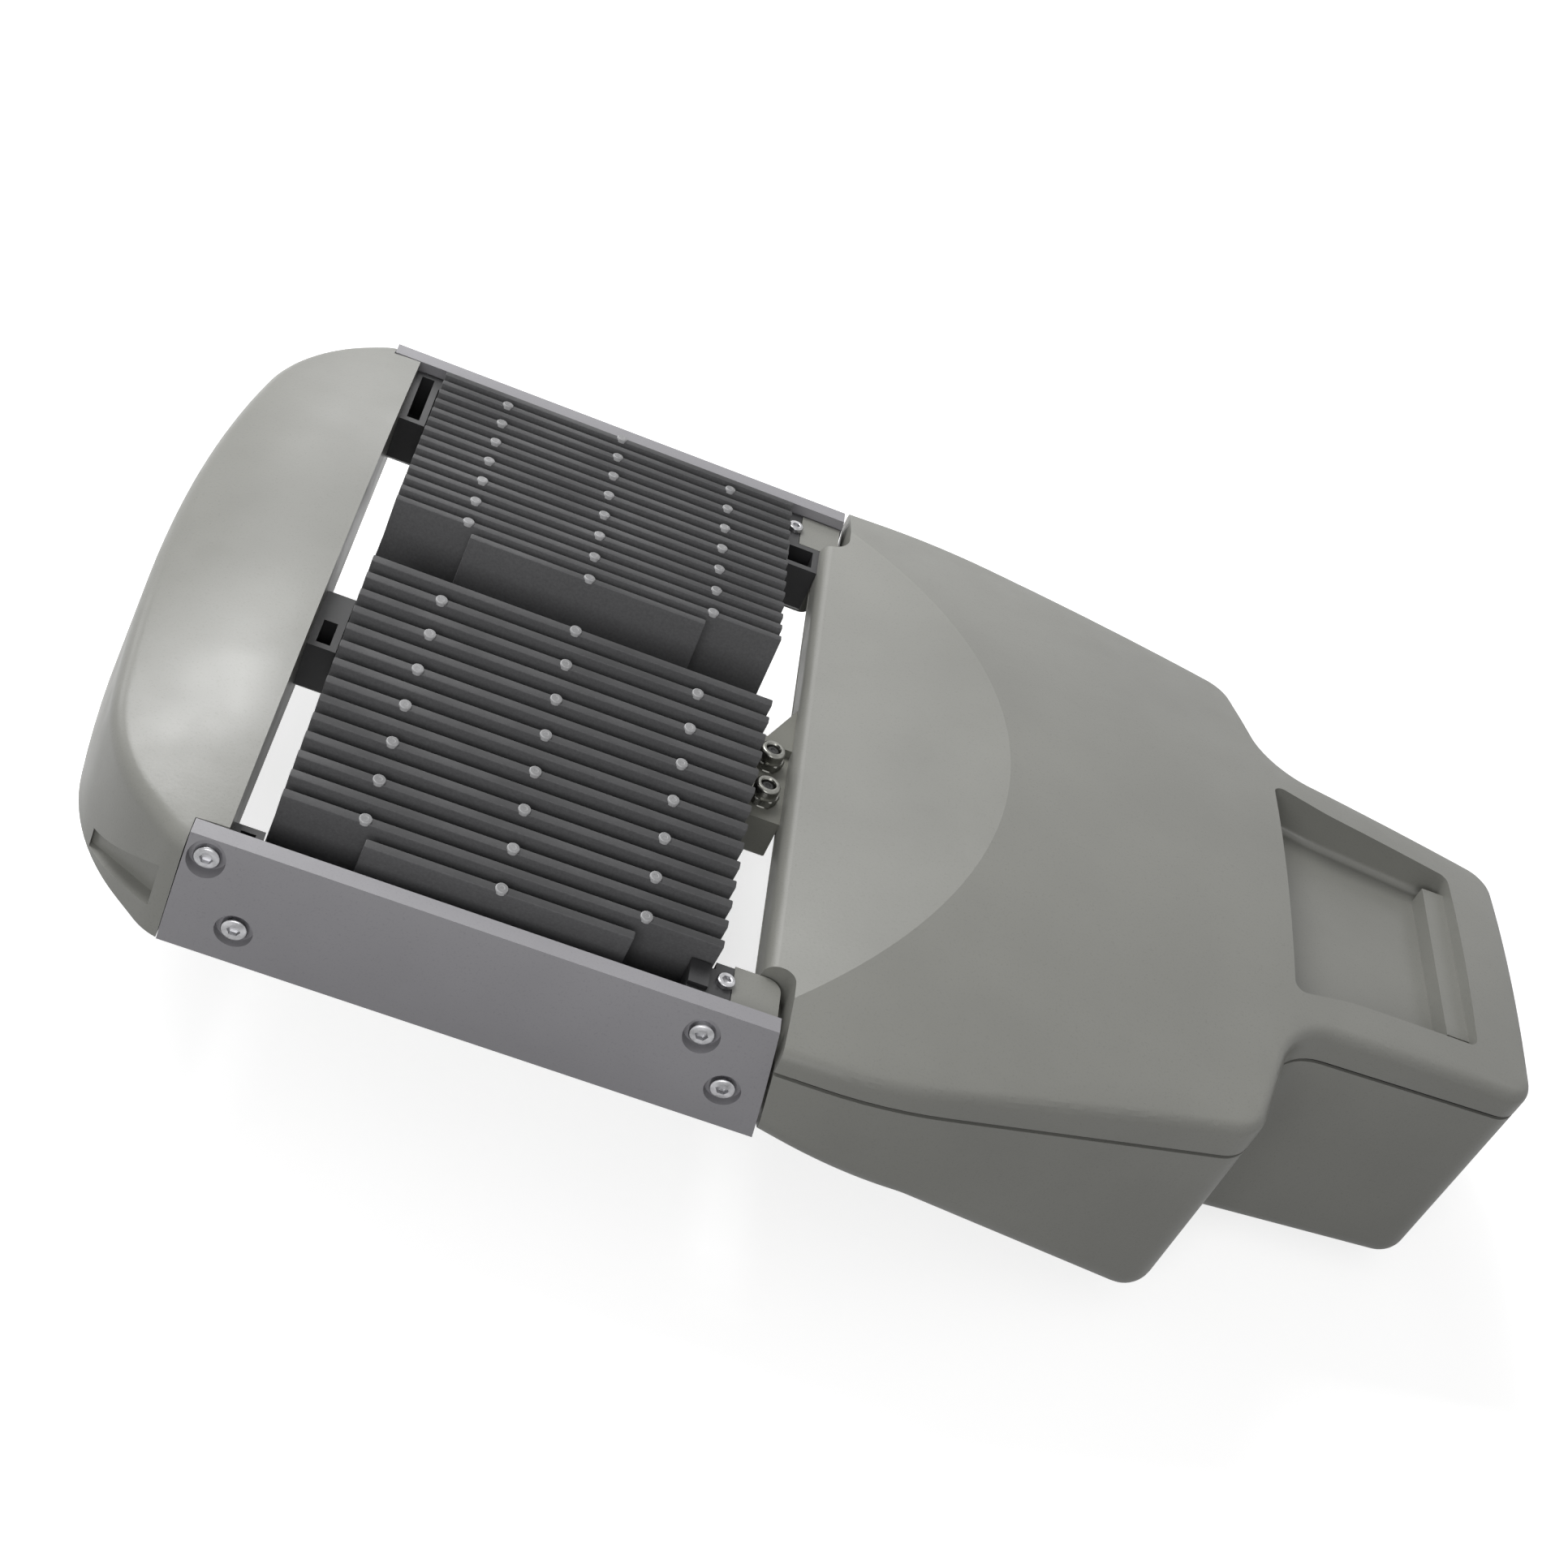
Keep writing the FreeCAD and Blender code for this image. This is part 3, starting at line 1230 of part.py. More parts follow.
def rear_housing():
    """The cast tray: sloping floor, screw bosses, posts, and the socket for the arm."""
    deep = "2 * housing_end_level"
    outside = joined("Common", "TrayOutside", [
        prism("TrayPlan", "XY", housing_plan(), deep, "top_level", rounding=housing_rounding()),
        band("TraySide", floor_line("0"), seam_line("gasket_thickness"), FLOOR_ROUNDING),
    ])
    outside = rounded_edges(
        "TrayRound", outside, "housing_edge_radius",
        lambda edge: edge.BoundBox.ZMax < size("under_level + 0.1")
        and (abs(edge.CenterOfMass.y) > size("neck_half / 2") or edge.CenterOfMass.x > -1))
    inside = joined("Common", "TrayInside", [
        prism("TrayInsidePlan", "XY", housing_plan(True), deep, "top_level",
              inset="housing_wall", rounding=housing_rounding("housing_wall", True)),
        band("TrayInsideSide", floor_line("housing_wall"), seam_line("-1", "housing_wall"), FLOOR_ROUNDING),
        prism("TrayBay", "XY", rectangle(COVER_EDGE, f"-({HALF})", "-mouth_wall", HALF), deep, "top_level"),
    ])
    length = size("socket_depth + socket_wall")
    along = Vector(1, 0, 0)
    socket = rods("SocketTube", [Vector(-length, 0, 0)], size("socket_radius + socket_wall"), length, along)
    up = Vector(0, 0, 1)
    low = size(deep)
    screws = cover_screw_spots()
    bosses = rods("TrayBosses", [Vector(x, y, low) for x, y in screws],
                  size("cover_screw_boss"), size("seam_level - gasket_thickness") - low, up)
    posts = rods("TrayPosts", [Vector(x, y, low) for x, y in driver_posts()],
                 size("post_radius"), size("driver_level") - low, up)
    clamps = [Vector(-size(x), 0, low) for x in ("clamp_bolt_front", "clamp_bolt_rear")]
    clamp_bosses = rods("ClampBosses", clamps, size("clamp_boss_radius"), -low, up)
    space = joined("Cut", "TraySpace", [inside, socket, bosses, posts, clamp_bosses])
    bore = rods("SocketBore", [Vector(1, 0, 0)], size("socket_radius"), size("socket_depth + 1"),
                Vector(-1, 0, 0))
    wire_way = rods("WireWay", [Vector(0, 0, 0)], size("socket_radius / 2"), length + 1, Vector(-1, 0, 0))
    clamp_holes = rods("ClampHoles", clamps, size("clamp_bolt_radius + thread_gap"), -low, up)
    seat = size("seam_level - cover_screw_reach")
    sunk = rods("CoverScrewSinks", [Vector(x, y, low) for x, y in screws],
                size("cover_screw_head + screw_clearance"), seat - low, up)
    through = rods("CoverScrewHoles", [Vector(x, y, low) for x, y in screws],
                   size("cover_screw_shank + screw_clearance"), size("top_level") - low, up)
    notches = rail_notches()
    lugs = [prism("TrayLug" + word, "XY",
                  outwards(side, f"{COVER_EDGE} - lug_length", LUG_INNER,
                           f"{COVER_EDGE} + rail_rear_lap", BRACKET_OUTER),
                  "ear_bottom", "bracket_top", rounding={corner: "lug_corner_radius"})
            for word, side, corner in (("Left", -1, 2), ("Right", 1, 1))]
    tray = joined("Fuse", "TrayWithLugs", [
        joined("Cut", "TrayShell", [outside, space, bore, wire_way, clamp_holes, sunk, through] + notches),
    ] + lugs)
    threads = rail_drills("LugThreads", "rail_screw_shank + thread_gap", RAIL_SCREWS[3:])
    return joined("Cut", "rear_housing", [tray, threads])


def recess_plan():
    """The recess in the top of the neck: its sides draw in quickly, then gently."""
    right = [("-recess_front_x", "recess_front_half"), ("-recess_waist_x", "recess_waist_half"),
             ("-recess_rear_x", "recess_rear_half")]
    return [(x, "-" + y) for x, y in right] + right[::-1]


def recess_rounding(grow="0"):
    """Sharp corners and a soft waist round the recess, grown by a wall."""
    corner = f"recess_corner_radius + ({grow})"
    waist = f"recess_waist_radius - ({grow})"
    return {0: corner, 1: waist, 2: corner, 3: corner, 4: waist, 5: corner}


def housing_cover():
    """The cast cover: domed top, a flat crescent that rises to it, and the neck's recess."""
    ceiling = "top_level + 2 * cover_crown_height"
    peak = f"{COVER_EDGE} + cover_crown_x"
    height = "top_level + cover_crown_height"
    outside = joined("Common", "LidOutside", [
        prism("LidPlan", "XY", housing_plan(), "under_level", ceiling, rounding=housing_rounding()),
        crown("LidCrown", peak, height, "cover_crown_across", "cover_crown_along", f"{HALF} + 20", "80"),
        band("LidCrescent", [(COVER_EDGE, "0"), ("0", "0")], [
            (COVER_EDGE, "top_level"),
            (f"{COVER_EDGE} + 100", "top_level + 100 * tan(crescent_angle)"),
            ("0", "top_level + 100 * tan(crescent_angle)"),
        ]),
    ])
    front = size(COVER_EDGE)
    outside = rounded_edges(
        "LidRound", outside, "cover_edge_radius",
        lambda edge: edge.BoundBox.ZMin > size("under_level + 1")
        and (abs(edge.CenterOfMass.y) > size("neck_half / 2") or edge.CenterOfMass.x > -3
             or abs(edge.CenterOfMass.x - front) < 1))
    tub = prism("RecessTub", "XY", recess_plan(), "recess_floor - cover_wall", ceiling,
                inset="-cover_wall", rounding=recess_rounding("cover_wall"))
    above = joined("Common", "LidAbove", [
        outside, band("LidSide", seam_line("0"), [(COVER_EDGE, ceiling), ("0", ceiling)])])
    outside = joined("Fuse", "LidBody", [above, joined("Common", "LidTub", [outside, tub])])
    inside = joined("Common", "LidInside", [
        prism("LidInsidePlan", "XY", housing_plan(True), "under_level", ceiling,
              inset="housing_wall", rounding=housing_rounding("housing_wall", True)),
        crown("LidInnerCrown", peak, f"{height} - cover_wall", "cover_crown_across - cover_wall",
              "cover_crown_along - cover_wall", f"{HALF} + 20", "80"),
        band("LidInnerCrescent", [(COVER_EDGE, "0"), ("0", "0")], [
            (COVER_EDGE, "top_level - cover_wall"),
            (f"{COVER_EDGE} + 100", "top_level - cover_wall + 100 * tan(crescent_angle)"),
            ("0", "top_level - cover_wall + 100 * tan(crescent_angle)"),
        ]),
    ])
    up = Vector(0, 0, 1)
    bosses = rods("LidBosses", [Vector(x, y, size("seam_level")) for x, y in cover_screw_spots()],
                  size("cover_screw_boss"), size("2 * cover_crown_height"), up)
    space = joined("Cut", "LidSpace", [inside, tub, bosses])
    recess = prism("RecessPlan", "XY", recess_plan(), "recess_floor", ceiling, rounding=recess_rounding())
    recess = rounded_edges("RecessSoft", recess, "recess_floor_radius",
                           lambda edge: edge.BoundBox.ZMax < size("recess_floor + 0.1"))
    bar = prism("RecessBar", "XZ", [
        ("-recess_rear_x - recess_bar_width", "recess_floor - 1"),
        ("-recess_rear_x + 1", "recess_floor - 1"),
        ("-recess_rear_x + 1", "recess_floor + recess_bar_height"),
        ("-recess_rear_x - recess_bar_width", "recess_floor + recess_bar_height"),
    ], "-recess_rear_half + recess_bar_end", "recess_rear_half - recess_bar_end")
    recess = joined("Cut", "Recess", [recess, bar])
    threads = rods("LidThreads", [Vector(x, y, 0) for x, y in cover_screw_spots()],
                   size("cover_screw_shank + thread_gap"),
                   size("seam_level + cover_screw_seat + 0.5"), up)
    return joined("Cut", "housing_cover",
                  [outside, space, recess, threads] + corner_notches(ceiling))


def cover_gasket():
    """A thin seal that follows the seam just inside its outer edge."""
    limits = band("SealBand", seam_line("gasket_thickness"), seam_line("0"))
    outer = prism("SealOuter", "XY", housing_plan(True), "under_level", "top_level",
                  inset="gasket_inset", rounding=housing_rounding("gasket_inset", True))
    inner = prism("SealInner", "XY", housing_plan(True), "under_level - 1", "top_level + 1",
                  inset="gasket_inset + gasket_width",
                  rounding=housing_rounding("gasket_inset + gasket_width", True))
    return joined("Common", "cover_gasket", [joined("Cut", "SealHoop", [outer, inner]), limits])


def cover_screws():
    """The four captive screws that pull the cover down, driven from beneath."""
    made = []
    seat = size("seam_level - cover_screw_reach")
    for x, y in cover_screw_spots():
        head = Part.makeCylinder(size("cover_screw_head"), size("cover_screw_head_height"),
                                 Vector(x, y, seat - size("cover_screw_head_height")))
        shank = Part.makeCylinder(size("cover_screw_shank"),
                                  size("cover_screw_reach + cover_screw_seat"), Vector(x, y, seat))
        made.append(head.fuse(shank).removeSplitter())
    return shaped("cover_screws", Part.makeCompound(made))


def clamp_bolts():
    """The two hexagon bolts that grip the arm from beneath."""
    made = []
    for name in ("clamp_bolt_front", "clamp_bolt_rear"):
        x = -size(name)
        seat = size("housing_end_level + (housing_deep_level - housing_end_level) * "
                    f"{name} / (housing_length - housing_deep_x)")
        head_low = seat - size("clamp_bolt_head_height")
        corners = [Vector(x + size("clamp_bolt_head") * math.cos(math.radians(60 * n)),
                          size("clamp_bolt_head") * math.sin(math.radians(60 * n)), head_low)
                   for n in range(7)]
        head = Part.Face(Part.makePolygon(corners)).extrude(
            Vector(0, 0, size("clamp_bolt_head_height") - 0.2))
        shank = Part.makeCylinder(size("clamp_bolt_radius"), -size("socket_radius") - 0.3 - head_low,
                                  Vector(x, 0, head_low))
        made.append(head.fuse(shank).removeSplitter())
    return shaped("arm_clamp_bolts", Part.makeCompound(made))


# Inside the housing
def boxed(label, name, level, corner):
    """A block of equipment on its posts, with rounded upright corners."""
    x = f"{COVER_EDGE} + {name}_x"
    body = doc.addObject("PartDesign::Body", label + "Body")
    pad(body, label + "Pad", "XY",
        rectangle(x, f"{name}_y - {name}_width / 2", f"{x} + {name}_length", f"{name}_y + {name}_width / 2"),
        f"{name}_height", level)
    return rounded_edges(label, body, corner,
                         lambda edge: edge.BoundBox.ZLength > size(f"{name}_height") - 0.01)


def equipment():
    """The driver, the surge protector and the terminal block."""
    return {
        "led_driver": boxed("led_driver", "driver", "driver_level", "5"),
        "surge_protector": boxed("surge_protector", "surge", "driver_level", "4"),
        "terminal_block": boxed("terminal_block", "terminal", "driver_level", "2"),
    }


def build():
    """Every piece of the lamp by its name."""
    nodes = {
        "front_cap": front_cap(),
        "side_rail_left": side_rail("Left", -1),
        "side_rail_right": side_rail("Right", 1),
        "rail_screws": rail_screws(),
        "centre_beam": centre_beam(),
        "heat_sink_left": heat_sink("Left", -1),
        "heat_sink_right": heat_sink("Right", 1),
        "lens_frame_screws": frame_screws(),
        "module_screws": module_screws(),
        "front_centre_bracket": front_centre_bracket(),
        "rear_centre_bracket": rear_centre_bracket(),
        "front_corner_bracket_left": front_corner_bracket("Left", -1),
        "front_corner_bracket_right": front_corner_bracket("Right", 1),
        "rear_corner_bracket_left": rear_corner_bracket("Left", -1),
        "rear_corner_bracket_right": rear_corner_bracket("Right", 1),
        "bracket_screws": bracket_screws(),
        "cable_glands": cable_glands(),
        "rear_housing": rear_housing(),
        "housing_cover": housing_cover(),
        "cover_gasket": cover_gasket(),
        "cover_screws": cover_screws(),
        "arm_clamp_bolts": clamp_bolts(),
    }
    nodes.update(light_unit("Left", -1))
    nodes.update(light_unit("Right", 1))
    nodes.update(equipment())
    return nodes


nodes = build()
doc.recompute()
for item in doc.Objects:
    if "Invalid" in item.State or "Error" in item.State:
        raise RuntimeError(f"{item.Label}: {item.State}")
os.makedirs("parts", exist_ok=True)
for label, item in nodes.items():
    if item.Label != label:
        item.Label = label
    shape = item.Shape
    if shape.isNull() or not shape.isValid():
        raise RuntimeError(f"{label}: the shape is not valid")
    box = shape.optimalBoundingBox()
    print(f"{label}: {len(shape.Solids)} solids, {shape.Volume / 1000:.1f} cm3, "
          f"x {box.XMin:.1f} {box.XMax:.1f} y {box.YMin:.1f} {box.YMax:.1f} z {box.ZMin:.1f} {box.ZMax:.1f}")
    shape.exportStep(f"parts/{label}.step")
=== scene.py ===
"""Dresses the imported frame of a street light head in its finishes, details and studio."""

import math

import bpy
import numpy as np
from bpy.props import FloatProperty, FloatVectorProperty, IntProperty, PointerProperty
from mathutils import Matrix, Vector


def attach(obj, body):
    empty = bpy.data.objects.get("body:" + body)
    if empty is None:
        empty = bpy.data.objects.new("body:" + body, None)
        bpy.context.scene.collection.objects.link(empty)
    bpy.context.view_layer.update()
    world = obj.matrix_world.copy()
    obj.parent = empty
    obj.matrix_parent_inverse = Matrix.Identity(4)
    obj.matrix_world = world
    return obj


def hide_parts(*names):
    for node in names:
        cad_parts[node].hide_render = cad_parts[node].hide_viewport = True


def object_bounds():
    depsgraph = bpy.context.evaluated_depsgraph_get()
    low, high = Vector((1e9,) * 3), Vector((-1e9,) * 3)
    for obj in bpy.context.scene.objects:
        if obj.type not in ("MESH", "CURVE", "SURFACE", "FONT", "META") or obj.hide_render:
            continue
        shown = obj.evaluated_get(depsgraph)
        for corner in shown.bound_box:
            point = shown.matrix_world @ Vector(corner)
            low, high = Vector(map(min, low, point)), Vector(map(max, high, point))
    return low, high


bl_info = {
    "name": "Street Light Head",
    "version": (1, 0, 0),
    "blender": (4, 5, 0),
    "location": "View3D > Sidebar > Light Head",
    "description": "Builds the visible pieces of a street light head around its frame",
    "category": "Object",
}

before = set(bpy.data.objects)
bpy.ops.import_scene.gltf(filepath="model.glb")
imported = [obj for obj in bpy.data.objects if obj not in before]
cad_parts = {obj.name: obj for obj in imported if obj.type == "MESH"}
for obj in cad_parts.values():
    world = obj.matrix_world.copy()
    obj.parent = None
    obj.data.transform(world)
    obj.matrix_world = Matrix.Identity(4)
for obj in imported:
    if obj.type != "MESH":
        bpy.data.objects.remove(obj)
CAD_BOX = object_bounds()
MM = 0.001
MICRONS_PER_METRE = 1e6


# What a user may change

def length(name, default, description):
    """A length in metres."""
    return FloatProperty(name=name, description=description, default=default, unit="LENGTH",
                         precision=5, min=0)


def colour(name, default, description):
    """A colour as it looks on screen."""
    return FloatVectorProperty(name=name, description=description, subtype="COLOR_GAMMA",
                               size=3, min=0, max=1, default=default)


class LightHeadSizes(bpy.types.PropertyGroup):
    """Sizes of the pieces that are made here, within the outline of the solids they stand
    for."""
    smooth_angle: FloatProperty(
        name="Smooth Angle", description="Edges sharper than this stay crisp",
        subtype="ANGLE", default=math.radians(24))
    crease_angle: FloatProperty(
        name="Crease Angle", description="Edges of the cover sharper than this stay crisp",
        subtype="ANGLE", default=math.radians(12.6))
    module_tilt: FloatProperty(
        name="Module Tilt", description="Fall of each finned module towards its rail",
        subtype="ANGLE", default=math.radians(7.4))
    module_x: FloatProperty(name="Module Centre", default=-0.3652, unit="LENGTH", precision=5,
                            description="Middle of the modules along the lamp")
    module_y: length("Module Offset", 0.067892, "A module's middle from the lamp's centre line")
    module_z: length("Module Level", 0.0305, "Height of a module's underside at its middle")
    base_length: length("Base Length", 0.1415, "Base plate along the lamp")
    base_width: length("Base Width", 0.122, "Base plate across the lamp")
    base_thickness: length("Base Thickness", 0.005, "Thickness of the base plate")
    fin_length: length("Fin Length", 0.1405, "Length of the long fins")
    fin_height: length("Fin Height", 0.032, "Fin tops above the module's underside")
    fin_thickness: length("Fin Thickness", 0.0031, "Thickness of a fin")
    fin_pitch: length("Fin Pitch", 0.0081786, "Step from fin to fin")
    long_fins: IntProperty(name="Long Fins", description="Number of full fins", default=14, min=1)
    short_fins: IntProperty(name="Short Fins", description="Number of short fins at one side",
                            default=1, min=0)
    short_fin_length: length("Short Fin Length", 0.085, "Length of a short fin at its tip")
    short_fin_taper: length("Short Fin Taper", 0.0005, "Run of a short fin's slanted ends")
    boss_radius: length("Boss Radius", 0.0020, "Round bosses on the fin tops")
    boss_height: length("Boss Height", 0.0008, "Bosses above the fin tops")
    boss_spacing: length("Boss Spacing", 0.0447, "Step between the rows of bosses")
    lens_length: length("Lens Length", 0.1176, "Lens plate along the lamp")
    lens_width: length("Lens Width", 0.0916, "Lens plate across the lamp")
    lens_top: length("Lens Drop", 0.0026, "Lens plate's upper face below the module")
    lens_thickness: length("Lens Thickness", 0.0035, "Thickness of the lens plate")
    lens_rise: length("Lens Dome Height", 0.0045, "Height of one dome")
    lens_radius: length("Lens Dome Radius", 0.0095, "Radius of one dome's edge")
    lens_pitch_x: length("Lens Pitch X", 0.021, "Step of the domes along the lamp")
    lens_pitch_y: length("Lens Pitch Y", 0.02, "Step of the domes across the lamp")
    lens_columns: IntProperty(name="Lens Columns", description="Domes along the lamp", default=5)
    lens_rows: IntProperty(name="Lens Rows", description="Domes across the lamp", default=4)
    pocket_radius: length("Pocket Radius", 0.005, "Hollow beneath each chip")


class LightHeadFinishes(bpy.types.PropertyGroup):
    """Colours of the finishes."""
    coat: colour("Powder Coat", (0.53, 0.53, 0.51), "Grey coat of the cap, cover and housing")
    # Painted light: the casting coat made lighter and lilac on the side rails, standing in for the
    # light their side faces lack.
    rail: colour("Rail Coat", (0.575, 0.57, 0.585), "Grey coat of the side rails")
    sink: colour("Heat Sink", (0.385, 0.385, 0.39), "Dark finish of the finned modules")
    # Painted highlight: the bosses' light tone stands in for the glints on them.
    boss: colour("Fin Boss", (0.75, 0.75, 0.755), "Bare metal of the bosses on the fins")
    bracket: colour("Bracket", (0.20, 0.20, 0.205), "Black coat of the brackets")
    bridge: colour("Rear Bracket", (0.46, 0.46, 0.43), "Grey coat of the rear centre bracket")
    steel: colour("Steel", (0.74, 0.74, 0.75), "Plated screws")
    gland: colour("Gland", (0.55, 0.55, 0.53), "Plated cable glands")
    seal: colour("Seal", (0.12, 0.12, 0.12), "Rubber gaskets")
    board: colour("Board", (0.88, 0.88, 0.86), "Solder mask of the light boards")
    chip: colour("Chip", (0.93, 0.78, 0.30), "Phosphor of the light chips")
    case: colour("Case", (0.82, 0.82, 0.80), "Moulded cases of the small electrical units")
    driver: colour("Driver", (0.66, 0.67, 0.68), "Metal case of the driver")


class LightHeadStudio(bpy.types.PropertyGroup):
    """Light and camera."""
    lens: FloatProperty(name="Focal Length", description="Focal length of the camera",
                        default=55.76, subtype="DISTANCE_CAMERA")
    room: FloatProperty(name="Room Light", description="Brightness of the room", default=0.24)
    near: FloatProperty(name="Near Lamp", description="Power of the wide lamp above the near side",
                        subtype="POWER", default=7.6)
    front: FloatProperty(name="Front Lamp", description="Power of the low lamp beyond the cap",
                         subtype="POWER", default=2.2)
    window: FloatProperty(name="Window Lamps", subtype="POWER", default=1.9,
                          description="Power of each tall lamp on the far side")
    strip: FloatProperty(name="Strip Lamps", description="Power of each strip lamp over the cap",
                         subtype="POWER", default=5.6)


# Shapes as whole arrays. A shape is a pair: rows of points and a list of faces

def ring_faces(rows, columns, closed=True):
    """Quads between the rows of a grid of points. A closed grid joins its last column to
    its first."""
    index = np.arange(rows * columns).reshape(rows, columns)
    across = np.roll(index, -1, axis=1) if closed else index[:, 1:]
    along = index if closed else index[:, :-1]
    quads = np.stack([along[:-1], across[:-1], across[1:], along[1:]], axis=-1)
    return quads.reshape(-1, 4).tolist()


def turned(profile, count=24):
    """A profile turned about +Z from its lower pole to its upper one. Each row is (radius,
    height, share): at angle a the point stands at radius r * (1 - k + k * cos 30 / cos b),
    where b is the angle to the middle of the nearest of six flats and k is the share, 0 for
    round and 1 for six-sided."""
    rows = np.asarray([(*row, 0.0)[:3] for row in profile], float)
    angle = np.arange(count) * 2 * np.pi / count
    corner = np.cos(np.pi / 6) / np.cos(np.mod(angle, np.pi / 3) - np.pi / 6)
    radius, height, share = (rows[1:-1, part, None] for part in range(3))
    radius = radius * (1 - share + share * corner)
    height = np.broadcast_to(height, radius.shape)
    points = np.stack([radius * np.cos(angle), radius * np.sin(angle), height], axis=-1)
    poles = [(0, 0, rows[0, 1]), (0, 0, rows[-1, 1])]
    faces = ring_faces(len(rows) - 2, count)
    low = len(faces) + count
    step = np.arange(count)
    following = np.roll(step, -1)
    top = step + low - count
    faces += np.stack([np.full(count, low), following, step], axis=-1).tolist()
    faces += np.stack([np.full(count, low + 1), top, np.roll(top, -1)], axis=-1).tolist()
    return np.concatenate([points.reshape(-1, 3), poles]), faces


def carried(profile, x, inset):
    """A closed profile in y and z carried along X. The point of profile j at station i is
    profile j less inset i times the profile's outward normal there, so that small insets at
    both ends round the end edges. Both ends are closed with a flat face."""
    profile = np.asarray(profile, float)
    ahead = np.roll(profile, -1, axis=0) - np.roll(profile, 1, axis=0)
    ahead /= np.linalg.norm(ahead, axis=1, keepdims=True)
    outward = np.stack([ahead[:, 1], -ahead[:, 0]], axis=-1)
    flat = profile[None] - np.asarray(inset, float)[:, None, None] * outward[None]
    along = np.broadcast_to(np.asarray(x, float)[:, None, None], flat.shape[:2] + (1,))
    points = np.concatenate([along, flat], axis=-1)
    rows, columns = flat.shape[:2]
    faces = ring_faces(rows, columns)
    faces.append(list(range(columns))[::-1])
    faces.append(list(range((rows - 1) * columns, rows * columns)))
    return points.reshape(-1, 3), faces


def rounded_box_profile(left, low, right, high, lower_radius, upper_radius, steps=4):
    """The corners of a rectangle in y and z, each an arc: corner + radius * (cos a, sin a)."""
    turns = np.linspace(0, np.pi / 2, steps)
    parts = []
    for centre_y, centre_z, radius, start in (
            (left + lower_radius, low + lower_radius, lower_radius, np.pi),
            (right - lower_radius, low + lower_radius, lower_radius, 1.5 * np.pi),
            (right - upper_radius, high - upper_radius, upper_radius, 0),
            (left + upper_radius, high - upper_radius, upper_radius, 0.5 * np.pi)):
        parts.append(np.stack([centre_y + radius * np.cos(start + turns),
                               centre_z + radius * np.sin(start + turns)], axis=-1))
    return np.concatenate(parts)


def soft_ends(start, end, radius, steps=4):
    """Stations from start to end and their insets: at angle a of each end's quarter turn the
    station is radius * (1 - sin a) inside the end and the inset is radius * (1 - cos a)."""
    turn = np.linspace(np.pi / 2, 0, steps)
    depth = radius * (1 - np.sin(turn))
    inset = radius * (1 - np.cos(turn))
    x = np.concatenate([start + depth, end - depth[::-1]])
    return x, np.concatenate([inset, inset[::-1]])


def merged(shapes):
    """Several shapes as one, their faces numbered on."""
    points, faces, count = [], [], 0
    for part_points, part_faces in shapes:
        points.append(part_points)
        faces += [[corner + count for corner in face] for face in part_faces]
        count += len(part_points)
    return np.concatenate(points), faces


def placed(shape, origin, axis, reference=(1, 0, 0)):
    """A shape with its zero moved to the given origin, its +Z turned to the axis and its +X
    as near as may be to the reference."""
    axis = np.asarray(axis, float) / np.linalg.norm(axis)
    across = np.asarray(reference, float) - np.dot(reference, axis) * axis
    across /= np.linalg.norm(across)
    basis = np.stack([across, np.cross(axis, across), axis])
    return shape[0] @ basis + np.asarray(origin, float), shape[1]


def new_piece(name, shape, material, replaces=(), crisp=None):
    """A mesh of a shape, smooth but for the edges sharper than an angle, riding on the frame."""
    points, faces = shape
    mesh = bpy.data.meshes.new(name)
    mesh.from_pydata(np.asarray(points).tolist(), [], faces)
    mesh.validate()
    mesh.shade_smooth()
    mesh.set_sharp_from_angle(angle=crisp or bpy.context.scene.light_head_sizes.smooth_angle)
    mesh.materials.append(material)
    piece = bpy.data.objects.new(name, mesh)
    bpy.context.scene.collection.objects.link(piece)
    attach(piece, "root")
    if replaces:
        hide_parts(*replaces)
    return piece


def welded(node):
    """A CAD node's corners and triangles, with corners within a micrometre made one."""
    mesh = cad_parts[node].data
    points = np.empty(len(mesh.vertices) * 3, np.float32)
    mesh.vertices.foreach_get("co", points)
    corners = np.empty(len(mesh.loops), np.int32)
    mesh.loops.foreach_get("vertex_index", corners)
    points = points.reshape(-1, 3)
    cells = np.round(points * MICRONS_PER_METRE).astype(np.int64)
    first, place = np.unique(cells, axis=0, return_index=True, return_inverse=True)[1:]
    faces = place.reshape(-1)[corners].reshape(-1, 3)
    kept = ((faces[:, 0] != faces[:, 1]) & (faces[:, 1] != faces[:, 2])
            & (faces[:, 2] != faces[:, 0]))
    return points[first].astype(float), faces[kept]


def dressed(node, slot, material=None, crisp=None):
    """A welded, smooth copy of a CAD node in its finish, standing for the node."""
    points, faces = welded(node)
    return new_piece("dressed_" + node, (points, faces.tolist()), material or finish(slot),
                     [node], crisp)


def separate_solids(node):
    """The points of each solid in a node. Every corner takes the lowest number in its
    triangles until no number changes, so that one number marks one solid."""
    points, faces = welded(node)
    mark = np.arange(len(points))
    while True:
        lowest = mark[faces].min(axis=1)
        following = mark.copy()
        for corner in range(3):
            np.minimum.at(following, faces[:, corner], lowest)
        if np.array_equal(following, mark):
            return [points[mark == number] for number in np.unique(mark)]
        mark = following


